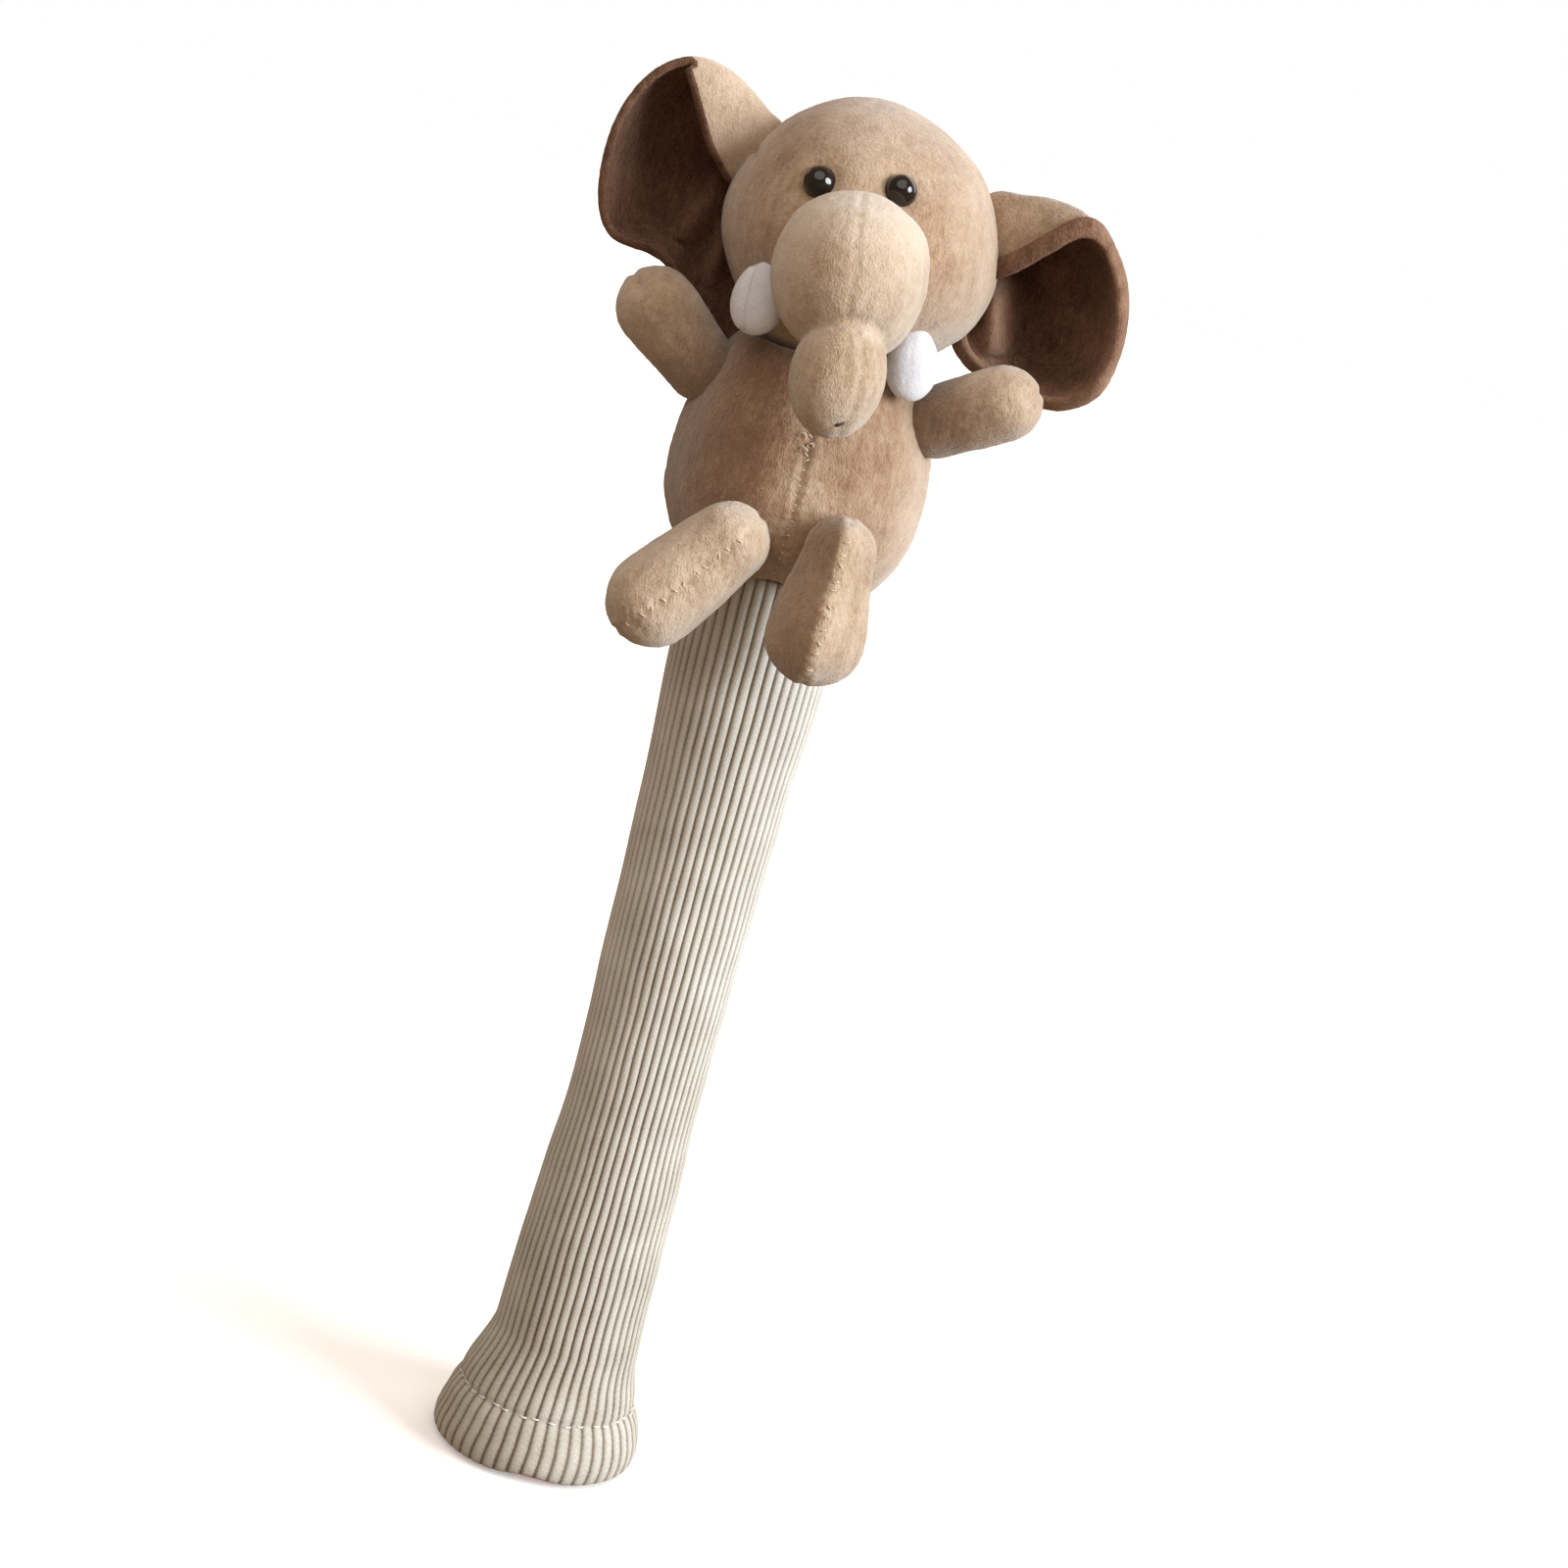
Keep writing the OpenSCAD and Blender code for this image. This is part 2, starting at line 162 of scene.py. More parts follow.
def knit_cloth(name, deep, base, pale):
    """Rib knit: one U unit to a rib and one V unit to a row of stitches."""
    s = Shader(name, Sheen_Weight=0.18, Sheen_Roughness=0.5, Specular_IOR_Level=0.15)
    uv = s.node("ShaderNodeUVMap").outputs[0]
    split = s.node("ShaderNodeSeparateXYZ", Vector=uv)
    side = s.math("ABSOLUTE", s.math("SUBTRACT", s.math("FRACT", split.outputs[0]), 0.5))
    row = s.total((split.outputs[1], 1.0), (side, 1.5), (s.noise(uv, 0.7, 2.0), 0.5))
    off_row = s.math("ABSOLUTE", s.math("SUBTRACT", s.math("FRACT", row), 0.5))
    loop = s.total((off_row, -2.0), plus=1.0)
    # Painted shade in the gaps between the ribs: the colour darkens towards each gap.
    fold = s.math("POWER", s.math("MULTIPLY", side, 2.0), 3.0)
    rest = s.stored("rest", "Vector")
    fibre = s.noise(rest, 2300.0, 2.0, 0.6)
    patch = s.noise(rest, 60.0, 3.0)
    # Painted shade towards the bottom: the colour darkens lower than 200 mm up the sleeve.
    height = s.node("ShaderNodeSeparateXYZ", Vector=rest).outputs[2]
    share = s.math("MINIMUM", s.math("MULTIPLY", height, 5.0), 1.0)
    shade = s.total((loop, 0.04), (fibre, 0.44), (patch, 0.30), (fold, -0.42), (share, 0.18), plus=0.03)
    colour = s.ramp(shade, (0.10, deep), (0.42, base), (0.7, pale))
    normal = s.bump(loop, 0.12, 0.0004, s.bump(fibre, 0.45, 0.0005))
    return s.wire(colour, s.total((fibre, 0.1), plus=0.82), normal)


def felt_cloth(name, deep, base, pale):
    """Pressed felt: short matted fibres with faint clouds."""
    s = Shader(name, Sheen_Weight=0.3, Sheen_Roughness=0.5)
    rest = s.stored("rest", "Vector")
    mat = s.noise(rest, 900.0, 4.0, 0.7)
    patch = s.noise(rest, 140.0, 3.0)
    colour = s.ramp(s.total((mat, 0.6), (patch, 0.4)), (0.3, deep), (0.5, base), (0.7, pale))
    return s.wire(colour, s.total((mat, 0.1), plus=0.85), s.bump(mat, 0.5, 0.0005))


def thread(name, deep, pale):
    """Twisted sewing thread."""
    s = Shader(name, Sheen_Weight=0.15)
    twist = s.noise(s.stored("rest", "Vector"), 2600.0, 2.0, 0.6)
    colour = s.ramp(twist, (0.35, deep), (0.65, pale))
    return s.wire(colour, s.total((twist, 0.2), plus=0.6), s.bump(twist, 0.6, 0.0003))


def woven(name, deep, pale, pitch=0.0007):
    """Plain weave in object coordinates."""
    s = Shader(name, Sheen_Weight=0.1)
    where = s.node("ShaderNodeTexCoord").outputs["Object"]
    split = s.node("ShaderNodeSeparateXYZ", Vector=where)
    turns = 2 * math.pi / pitch
    warp = s.math("SINE", s.math("MULTIPLY", split.outputs[0], turns))
    weft = s.math("SINE", s.math("MULTIPLY", split.outputs[2], turns))
    height = s.math("MULTIPLY", warp, weft)
    patch = s.noise(where, 500.0, 2.0)
    colour = s.ramp(s.total((height, 0.15), (patch, 1.0)), (0.3, deep), (0.7, pale))
    return s.wire(colour, s.total((patch, 0.15), plus=0.7), s.bump(height, 0.4, 0.0002))


def gloss(name, deep, pale):
    """Moulded glossy plastic with a thin clear coat."""
    s = Shader(name, Coat_Weight=0.5, Coat_Roughness=0.03, IOR=1.4)
    haze = s.noise(s.node("ShaderNodeTexCoord").outputs["Object"], 350.0, 3.0)
    colour = s.ramp(haze, (0.35, deep), (0.65, pale))
    return s.wire(colour, s.total((haze, 0.10), plus=0.06), s.bump(haze, 0.02, 0.0003))


# Each rim colour is painted light: the lightest stop, used where the stored painted shading is high; on the
# brown plush it is the painted highlight of the ears.
TAN = plush("tan_plush", (0.225, 0.112, 0.053), (0.375, 0.246, 0.150), (0.50, 0.375, 0.275),
            rim=(0.62, 0.52, 0.43))
# A lighter copy of the tan plush for the arms and the backs of the ears: painted light.
LIT_TAN = plush("lit_tan_plush", (0.27, 0.165, 0.095), (0.42, 0.30, 0.20), (0.54, 0.41, 0.305))
PALE = plush("pale_tan_plush", (0.30, 0.178, 0.095), (0.46, 0.345, 0.24), (0.58, 0.465, 0.36),
             rim=(0.68, 0.60, 0.52))
BROWN = plush("brown_plush", (0.020, 0.008, 0.005), (0.075, 0.033, 0.020), (0.16, 0.083, 0.053),
              sheen=0.35, pile=1.6, bloom=(0.80, 0.54, 0.40), rim=(0.36, 0.235, 0.165))
KNIT = knit_cloth("rib_knit", (0.16, 0.13, 0.095), (0.44, 0.42, 0.375), (0.64, 0.635, 0.605))
FELT = felt_cloth("white_felt", (0.52, 0.54, 0.60), (0.64, 0.66, 0.72), (0.72, 0.74, 0.79))
THREAD = thread("pale_thread", (0.45, 0.34, 0.24), (0.78, 0.68, 0.56))
HEM_THREAD = thread("hem_thread", (0.52, 0.50, 0.46), (0.80, 0.79, 0.75))
DARK_THREAD = thread("dark_thread", (0.02, 0.012, 0.008), (0.09, 0.055, 0.035))
LABEL = woven("woven_label", (0.62, 0.10, 0.09), (0.86, 0.24, 0.21))
LINING = woven("lining_cloth", (0.50, 0.45, 0.38), (0.68, 0.63, 0.55), 0.0009)
GLOSS = gloss("eye_gloss", (0.004, 0.003, 0.003), (0.010, 0.007, 0.006))


# ------------------------------------------------------------------ helpers
def unit(v):
    v = np.asarray(v, float)
    return v / np.maximum(np.linalg.norm(v, axis=-1, keepdims=True), 1e-12)


def ripple(points, size, seed=0.0):
    """Smooth noise from -1 to 1 at each point, with features of the given size."""
    shift = Vector((seed * 17.3, seed * 5.1, seed * 9.7))
    return np.array([noise.noise(Vector(p) / size + shift) for p in points])


def smooth(x):
    x = np.clip(x, 0.0, 1.0)
    return x * x * (3 - 2 * x)


def catmull_rom(a, b, c, d, f):
    """Point at share f of the way from b to c, on a smooth curve through a, b, c and d."""
    return 0.5 * (2 * b + (c - a) * f + (2 * a - 5 * b + 4 * c - d) * f**2 + (3 * b - a - 3 * c + d) * f**3)


def curve(keys, t):
    """Open smooth curve through rows of keys, with t from 0 to 1."""
    keys = np.asarray(keys, float)
    padded = np.vstack([2 * keys[0] - keys[1], keys, 2 * keys[-1] - keys[-2]])
    s = np.clip(np.asarray(t, float), 0, 1) * (len(keys) - 1)
    i = np.minimum(s.astype(int), len(keys) - 2)
    return catmull_rom(*(padded[i + k] for k in range(4)), (s - i)[:, None])


def loop(keys, count):
    """Closed smooth curve through keys, evenly spaced by key."""
    keys = np.asarray(keys, float)
    n = len(keys)
    s = np.linspace(0, n, count, endpoint=False)
    i = s.astype(int)
    return catmull_rom(*(keys[(i + k - 1) % n] for k in range(4)), (s - i)[:, None])


def resample(points, count):
    """Points at even steps of length along a smooth curve."""
    points = np.asarray(points, float)
    fine = curve(points, np.linspace(0, 1, 40 * len(points)))
    s = np.concatenate([[0], np.cumsum(np.linalg.norm(np.diff(fine, axis=0), axis=1))])
    t = np.linspace(0, s[-1], count)
    return np.stack([np.interp(t, s, fine[:, i]) for i in range(fine.shape[1])], 1)


def table(keys, x):
    """Smooth value at x from (x, value) rows."""
    keys = np.asarray(keys, float)
    i = np.interp(x, keys[:, 0], np.arange(len(keys)) / (len(keys) - 1))
    return curve(keys, np.ravel(i))[:, 1].reshape(np.shape(x))


def bump_at(distance, width):
    """A soft hump: 1 at no distance, and nearly 0 beyond twice the width."""
    return np.exp(-((distance / width) ** 2))


def ring_of(radius, angle, centre, e1, e2):
    """Circle round a centre, in the plane of two axes."""
    return centre + radius * (np.outer(np.cos(angle), e1) + np.outer(np.sin(angle), e2))


def turn(count):
    """Angles of a whole turn in even steps."""
    return np.linspace(0, 2 * math.pi, count + 1)[:-1]


def sight(x, z, y):
    """Point at depth y on the line of sight through (x, z) at depth 0."""
    k = (y - VIEWPOINT[1]) / -VIEWPOINT[1]
    return np.array([VIEWPOINT[0] + (x - VIEWPOINT[0]) * k, y, VIEWPOINT[2] + (z - VIEWPOINT[2]) * k])


def make(name, points, faces, material, uv=None):
    """New object from points in millimetres, with one material."""
    mesh = bpy.data.meshes.new(name)
    mesh.from_pydata((np.asarray(points) * MM).tolist(), [], [list(map(int, f)) for f in faces])
    mesh.materials.append(material)
    if uv is not None:
        layer = mesh.uv_layers.new(name="UVMap")
        flat = [uv[i][j] for i in range(len(faces)) for j in range(len(faces[i]))]
        layer.data.foreach_set("uv", np.asarray(flat, np.float32).ravel())
    mesh.shade_smooth()
    mesh.update()
    piece = bpy.data.objects.new(name, mesh)
    bpy.context.scene.collection.objects.link(piece)
    keep_rest(piece)
    return piece


def coords(piece):
    co = np.empty(len(piece.data.vertices) * 3)
    piece.data.vertices.foreach_get("co", co)
    return co.reshape(-1, 3) / MM


def normals(piece):
    piece.data.update()
    no = np.empty(len(piece.data.vertices) * 3)
    piece.data.vertices.foreach_get("normal", no)
    return no.reshape(-1, 3)


def move(piece, points):
    piece.data.vertices.foreach_set("co", (np.asarray(points) * MM).ravel())
    piece.data.update()


def keep_rest(piece):
    """Stores each vertex's place, so that the cloth's grain follows the cloth."""
    mesh = piece.data
    attribute = mesh.attributes.get("rest") or mesh.attributes.new("rest", "FLOAT_VECTOR", "POINT")
    co = np.empty(len(mesh.vertices) * 3, np.float32)
    mesh.vertices.foreach_get("co", co)
    attribute.data.foreach_set("vector", co)


def store_painted_shading(piece, values):
    """Stores the painted light and shade of the pile at each vertex."""
    attribute = piece.data.attributes.new("painted_shading", "FLOAT", "POINT")
    attribute.data.foreach_set("value", np.asarray(values, np.float32))


def apply_modifiers(piece):
    graph = bpy.context.evaluated_depsgraph_get()
    mesh = bpy.data.meshes.new_from_object(piece.evaluated_get(graph))
    piece.modifiers.clear()
    old = piece.data
    piece.data = mesh
    bpy.data.meshes.remove(old)
    piece.data.name = piece.name
    piece.data.shade_smooth()


def subdivide(piece, times=1):
    """Splits each face in four and rounds the result, one pass at a time."""
    for _ in range(times):
        m = piece.modifiers.new("subdivide", "SUBSURF")
        m.levels = m.render_levels = 1
        apply_modifiers(piece)
        keep_rest(piece)


def merge(piece, grain):
    """Joins shapes that overlap into one even, softened skin."""
    m = piece.modifiers.new("join", "REMESH")
    m.mode = "VOXEL"
    m.voxel_size = grain * MM
    apply_modifiers(piece)
    m = piece.modifiers.new("soften", "SMOOTH")
    m.factor = 0.5
    m.iterations = 2
    apply_modifiers(piece)
    keep_rest(piece)


PRESSURE = 4.0
CLOTH_FRAMES = 20


def puff(piece, held, cap):
    """Blows a closed piece up as cloth, with the held vertices pinned and the travel capped in mm."""
    start = coords(piece)
    group = piece.vertex_groups.new(name="held")
    group.add([int(i) for i in np.flatnonzero(held)], 1.0, "REPLACE")
    cloth = piece.modifiers.new("cloth", "CLOTH")
    settings = cloth.settings
    settings.quality = 6
    settings.mass = 0.15
    settings.tension_stiffness = settings.compression_stiffness = 18
    settings.shear_stiffness = 8
    settings.bending_stiffness = 0.4
    settings.use_pressure = True
    settings.uniform_pressure_force = PRESSURE
    settings.vertex_group_mass = "held"
    settings.effector_weights.gravity = 0.0
    cloth.collision_settings.use_collision = False
    cloth.collision_settings.use_self_collision = False
    cloth.point_cache.frame_start = 1
    cloth.point_cache.frame_end = CLOTH_FRAMES
    for f in range(1, CLOTH_FRAMES + 1):
        bpy.context.scene.frame_set(f)
    apply_modifiers(piece)
    bpy.context.scene.frame_set(1)
    piece.vertex_groups.clear()
    shift = coords(piece) - start
    far = np.linalg.norm(shift, axis=1, keepdims=True)
    if np.isfinite(far).all():
        move(piece, start + shift * np.minimum(1.0, cap / np.maximum(far, 1e-9)))
    else:
        move(piece, start)


def nap(piece, lump, pile, seed):
    """Uneven filling and the broken edge of the pile, as the last change of a piece's shape."""
    points, out = coords(piece), normals(piece)
    push = lump * ripple(points, 13.0, seed) + 0.4 * lump * ripple(points, 5.0, seed + 1)
    push += pile * ripple(points, 1.6, seed + 2)
    move(piece, points + out * push[:, None])
    keep_rest(piece)


def cube_sphere(n):
    """Unit directions and quads of a cube blown up to a sphere."""
    t = np.tan(np.linspace(-1, 1, n + 1) * math.pi / 4)
    points, faces = [], []
    for axis in range(3):
        for sign in (1, -1):
            a, b = np.meshgrid(t, t, indexing="ij")
            p = np.empty((n + 1, n + 1, 3))
            p[..., axis] = sign
            p[..., (axis + 1) % 3] = a
            p[..., (axis + 2) % 3] = b
            start = len(points) * (n + 1) ** 2
            i = start + np.arange(n)[:, None] * (n + 1) + np.arange(n)[None, :]
            quad = np.stack([i, i + n + 1, i + n + 2, i + 1], -1).reshape(-1, 4)
            points.append(unit(p.reshape(-1, 3)))
            faces.append(quad if sign > 0 else quad[:, ::-1])
    points, faces = np.vstack(points), np.vstack(faces)
    _, first, back = np.unique(np.round(points, 6), axis=0, return_index=True, return_inverse=True)
    return points[first], np.ravel(back)[faces]


def limb_frame(root, tip, front):
    """Axes of a limb: along it, its front, and across."""
    along = unit(tip - root)
    fore = unit(front - along * (front @ along))
    return along, fore, np.cross(along, fore)


def limb_points(dirs, root, tip, root_r, tip_r, axes, flat):
    """Round-ended limb from unit directions, with each point's angle from its front and its radius."""
    along, fore, side = axes
    length = np.linalg.norm(tip - root)
    c = dirs @ along
    angle = np.arctan2(dirs @ side, dirs @ fore)
    cap = (root_r * math.pi / 2, tip_r * math.pi / 2)
    s = (1 - np.arccos(np.clip(c, -1, 1)) / math.pi) * (cap[0] + length + cap[1])
    at = np.clip(s - cap[0], 0, length)
    share = at / length
    radius = root_r + (tip_r - root_r) * smooth(share)
    low = np.clip(s / root_r, 0, math.pi / 2) - math.pi / 2
    high = np.clip((s - cap[0] - length) / tip_r, 0, math.pi / 2)
    tilt = low + high
    reach = radius * np.cos(tilt)
    along_at = at + np.where(tilt < 0, root_r, tip_r) * np.sin(tilt)
    p = root + np.outer(along_at, along) + np.outer(reach * np.cos(angle) * flat, fore)
    return p + np.outer(reach * np.sin(angle), side), angle, reach


def groove(distance, depth, width, lip=0.35):
    """Cloth drawn into a seam, with a soft swell on both sides."""
    return -depth * bump_at(distance, width) + lip * depth * bump_at(distance - 2.4 * width, width)


def tree_of(piece):
    points = [v.co / MM for v in piece.data.vertices]
    return BVHTree.FromPolygons(points, [tuple(p.vertices) for p in piece.data.polygons])


def surface(tree, origin, direction):
    """First hit of a ray on a piece, with its normal."""
    hit, out, _, _ = tree.ray_cast(Vector(origin), Vector(direction))
    if hit is None:
        hit, out, _, _ = tree.find_nearest(Vector(origin))
    return np.array(hit), np.array(out)


THREAD_SIDES = 6


def strands(name, paths, radius, material):
    """Short threads, each along its own points, as one mesh."""
    points, faces = [], []
    for path in paths:
        path = np.asarray(path, float)
        t = unit(np.gradient(path, axis=0))
        a = unit(np.cross(t, [0.31, 0.43, 0.85]))
        b = np.cross(t, a)
        thick = np.full(len(path), radius)
        thick[[0, -1]] *= 0.45
        base = len(points)
        for k in range(len(path)):
            points.extend(ring_of(thick[k], turn(THREAD_SIDES), path[k], a[k], b[k]))
        for k in range(len(path) - 1):
            for j in range(THREAD_SIDES):
                i, n = base + k * THREAD_SIDES, (j + 1) % THREAD_SIDES
                faces.append((i + j, i + n, i + THREAD_SIDES + n, i + THREAD_SIDES + j))
        first, last = range(base, base + THREAD_SIDES), range(len(points) - THREAD_SIDES, len(points))
        faces += [list(first)[::-1], list(last)]
    return make(name, points, faces, material)


def bar(at, out, way, length, lift):
    """Path of one stitch: it comes out of the cloth, lies on it and goes back in."""
    way, out = unit(way - out * (way @ out)), unit(out)
    s = np.linspace(-0.5, 0.5, 6)
    drop = 0.9 * (2 * np.abs(s)) ** 4
    return at + np.outer(s * length, way) + np.outer(lift - drop, out)


def loft(name, rings, material, pole=(False, False), ring_closed=False, uv=None):
    """Skins a list of rings. A pole closes an end on the middle of its ring."""
    n, total = len(rings[0]), len(rings)
    points, faces, corners = [p for r in rings for p in r], [], []
    for k in range(total if ring_closed else total - 1):
        a, b = k * n, ((k + 1) % total) * n
        for j in range(n):
            m = (j + 1) % n
            faces.append((a + j, a + m, b + m, b + j))
            if uv is not None:
                u, v = uv
                corners.append(((u[j], v[k]), (u[j + 1], v[k]), (u[j + 1], v[k + 1]), (u[j], v[k + 1])))
    for end, ring in ((0, 0), (1, total - 1)):
        if pole[end]:
            points.append(np.mean(rings[ring], axis=0))
            for j in range(n):
                tri = (ring * n + j, ring * n + (j + 1) % n, len(points) - 1)
                faces.append(tri[::-1] if end == 0 else tri)
    piece = make(name, points, faces, material, corners if uv is not None else None)
    work = bmesh.new()
    work.from_mesh(piece.data)
    bmesh.ops.recalc_face_normals(work, faces=work.faces)
    work.to_mesh(piece.data)
    work.free()
    return piece


# ------------------------------------------------------------------- sleeve
RIBS = 47
SLEEVE_R = [(3, 38.4), (7, 38.5), (12.6, 37.3), (18, 35.2), (22.5, 33.4), (29, 31.9), (34, 30.2),
            (40, 28.6), (46, 27.6), (61, 27.0), (83, 26.6), (104, 25.7), (135, 24.2), (166, 24.2),
            (207, 25.1), (258, 26.2), (297, 28.1), (334, 29.0), (343, 29.2)]
SLEEVE_X = [(0, -4.6), (12, -3.6), (24, -3.8), (35, -3.0), (46, -1.7), (83, -1.4), (110, -0.6), (150, 0.0),
            (343, 0.0)]
RIB_POINTS = 10
STITCH_ROW = 2.1
HEM_Z = 22.4
HEM_STITCHES = 36
LABEL_X = -2.0


def make_sleeve():
    """Rib-knit tube with its hem folded inside, from the inner top, round the rim, to the outer top."""
    u = np.arange(RIBS * RIB_POINTS + 1) / RIB_POINTS
    phi = 2 * math.pi * u[:-1] / RIBS - math.pi / 2
    side = np.abs((u[:-1] % 1.0) - 0.5)
    relief = 1 - np.sqrt(np.clip(1 - (2 * side) ** 2.4, 0, 1))
    rings, v = [], []

    def ring(z, radius, depth, stray=1.0):
        z_row = np.full(len(phi), float(z))
        where = np.stack([27 * np.cos(phi), 27 * np.sin(phi), z_row], 1)
        wave = ripple(where, 26.0, 3.0) * 0.45 * stray
        lean = ripple(where * [1, 1, 0.45], 9.0, 7.0) * 0.30 * stray / radius
        r = radius + wave - depth * relief
        x = np.interp(z, *np.array(SLEEVE_X).T) + r * np.cos(phi + lean)
        y = r * np.sin(phi + lean)
        over_label = 1.9 * bump_at(x - LABEL_X, 10) * smooth((-y - 24) / 8) * smooth((8 - z_row) / 6)
        rings.append(np.stack([x, y, z_row + over_label], 1))
        v.append(z / STITCH_ROW)

    for z in np.linspace(340, 8, 30):
        ring(z, float(table(SLEEVE_R, z)) - 3.0 - (0.2 if z > 60 else 0.0), 0.35, 0.6)
    for a in np.radians([15, 40, 65, 90, 115, 140, 165]):
        ring(3.2 - 3.2 * math.sin(a), 35.3 - 3.1 * math.cos(a), 0.35 + 0.35 * (a > 1.5))
    for z in np.concatenate([np.arange(3.6, 46, 0.9), np.arange(46.9, 343.5, 1.45)]):
        drawn_in = 0.75 * bump_at(z - HEM_Z, 1.1) - 0.35 * bump_at(z - 17.5, 2.4)
        ring(z, float(table(SLEEVE_R, z)) - drawn_in, 0.75 + 0.55 * float(smooth((z - 20) / 25)))
    v.append(v[-1] + 1)
    piece = loft("sleeve_knit", rings, KNIT, ring_closed=True, uv=(u, v))
    return piece


def make_hem_stitches(sleeve):
    """Running stitches round the sleeve that hold the folded hem."""
    tree = tree_of(sleeve)
    paths = []
    for i in range(HEM_STITCHES):
        a = 2 * math.pi * (i + 0.15 * math.sin(2.7 * i)) / HEM_STITCHES
        ray = np.array([math.cos(a), math.sin(a), 0.0])
        way = np.array([-math.sin(a), math.cos(a), 0.06 * math.sin(3.1 * i)])
        at, _ = surface(tree, ray * 60 + [-3.8, 0, HEM_Z + 0.25 * math.sin(1.9 * i)], -ray)
        paths.append(bar(at, ray, way, 3.1, 0.5))
    piece = strands("hem_thread", paths, 0.36, HEM_THREAD)
    return piece


sleeve = make_sleeve()
hem = make_hem_stitches(sleeve)


# -------------------------------------------------------------------- torso
BELLY_SEAM = [(-8, 1.1), (3, 2.2), (15, 2.8), (27, 2.2), (40, 2.2), (46, 1.6), (56, -1.5)]


def seam_x(z):
    """Where the belly seam runs at a height."""
    return table(BELLY_SEAM, z - WAIST)


def torso_seams(p):
    """Distances over the cloth to the belly seam, the back seam and the side seams."""
    front = np.where(p[:, 1] < 5, np.abs(p[:, 0] - seam_x(p[:, 2])), 99.0)
    back = np.where(p[:, 1] > 0, np.abs(p[:, 0]), 99.0)
    sides = np.abs(p[:, 1])
    return front, back, sides


TORSO_R = [(29.9, 3), (30.1, -3), (31.2, -7.6), (33.6, -8.2), (36.6, -5.2), (40.4, 1.2), (43.6, 9),
           (45.2, 18), (45.3, 30), (44.0, 41), (41.4, 50.5), (38.6, 57.5), (36.2, 63.6), (33.6, 68.0),
           (30.4, 70.6), (26.6, 69.6), (22, 65.6), (15, 61.6), (7, 60.4)]


def make_torso():
    """Body from radius and height over the waist, with its seams drawn in, up to the neck under the head."""
    phi = turn(96)
    across, ahead = (1, 0, 0), (0, 1, 0)
    rings = [ring_of(r, phi, np.array([0, 0, WAIST + z]), across, ahead) for r, z in resample(TORSO_R, 52)]
    piece = loft("torso_cloth", rings, TAN, pole=(False, True))
    p = coords(piece)
    low = p[:, 2] < WAIST - 3
    top = p[:, 2] > WAIST + 60
    puff(piece, (np.min(torso_seams(p), axis=0) < 2.0) | low | top, 1.2)
    subdivide(piece, 2)
    p, out = coords(piece), normals(piece)
    front, back, sides = torso_seams(p)
    rise = p[:, 2] - WAIST
    fade = smooth((rise + 8) / 4) * smooth((66 - rise) / 8)
    push = groove(front, 0.65, 1.1) + groove(back, 0.7, 1.2) + groove(sides, 0.7, 1.2)
    gather = bump_at(front, 4.5) * np.sin(p[:, 2] * 2 * math.pi / 3.3 + 1.6 * ripple(p, 5.0, 11))
    gather += 0.5 * bump_at(np.minimum(back, sides), 4.0) * np.sin(p[:, 2] * 2 * math.pi / 4.1)
    crotch = 1.5 * bump_at(np.hypot(p[:, 0] - 1.5, rise + 5), 5.0) * (p[:, 1] < 0)
    move(piece, p + out * ((push + 0.14 * gather) * fade - crotch)[:, None])
    nap(piece, 0.40, 0.13, 1)
    x, y, _ = coords(piece).T
    # Painted shade on the left side and the middle of the belly, and painted light on the far right.
    painted_shade_left = -0.42 * smooth((-x - 1.0) / 12) * smooth((12 - y) / 20)
    middle = -0.1 * smooth((x - 10) / 8) * smooth((36 - x) / 8)
    store_painted_shading(piece, painted_shade_left + middle + 0.3 * smooth((x - 32) / 10))
    return piece


BELLY_STITCHES = 19
FIRST_LOOSE = 14
LOOP = np.array([(0, 0, 0), (0.9, -0.8, 0.5), (1.2, -1.3, 1.7), (0.2, -1.0, 2.5), (-0.8, -1.4, 2.2),
                 (-1.3, -0.6, 1.0), (-1.0, 0.3, 0)])
LOOP_PLACES = [(0, 3), (1.6, 1.2), (-1.3, 0.2), (1.9, -2.6), (0.2, -4.4)]


def make_belly_stitches(torso):
    """Closing stitches up the belly seam, with looser ones and a few loops of thread near its top."""
    tree = tree_of(torso)

    def belly(x, z):
        return surface(tree, (x, -140.0, z), (0, 1, 0))

    paths = []
    for i in range(BELLY_STITCHES):
        z = WAIST - 4 + 2.9 * i + 0.5 * math.sin(4.1 * i)
        at, out = belly(float(seam_x(z)) + 0.3 * math.sin(2.9 * i), z)
        slant, length, lift = (0.7, 3.4, 0.3) if i >= FIRST_LOOSE else (0.35 * math.sin(2.3 * i), 1.7, 0.02)
        paths.append(bar(at, out, np.array([1.0, 0.0, slant * (-1) ** i]), length, lift))
    for k, (dx, dz) in enumerate(LOOP_PLACES):
        at, _ = belly(0.6 + dx, WAIST + 44 + dz)
        paths.append(at + LOOP * [(-1) ** k, 0.45, 0.7])
    piece = strands("belly_thread", paths, 0.26, THREAD)
    return piece


torso = make_torso()
belly = make_belly_stitches(torso)


# --------------------------------------------------------------------- head
OUTLINE = [(-180, 49.0), (-170, 48.2), (-160, 46.8), (-148, 45.4), (-120, 46.5), (-90, 48.4),
           (-60, 46.8), (-38, 47.3), (-26, 49.8), (-10, 50.4), (0, 49.8), (13, 48.4), (27, 47.8),
           (43, 47.8), (56, 47.0), (74, 47.2), (86, 48.2), (98, 48.8), (113, 48.6), (127, 48.4),
           (138, 48.0), (152, 47.6), (169, 48.3), (180, 49.0)]
EYES = {"right": np.array([-18.1, -42.0, 478.3]), "left": np.array([10.6, -42.0, 482.6])}


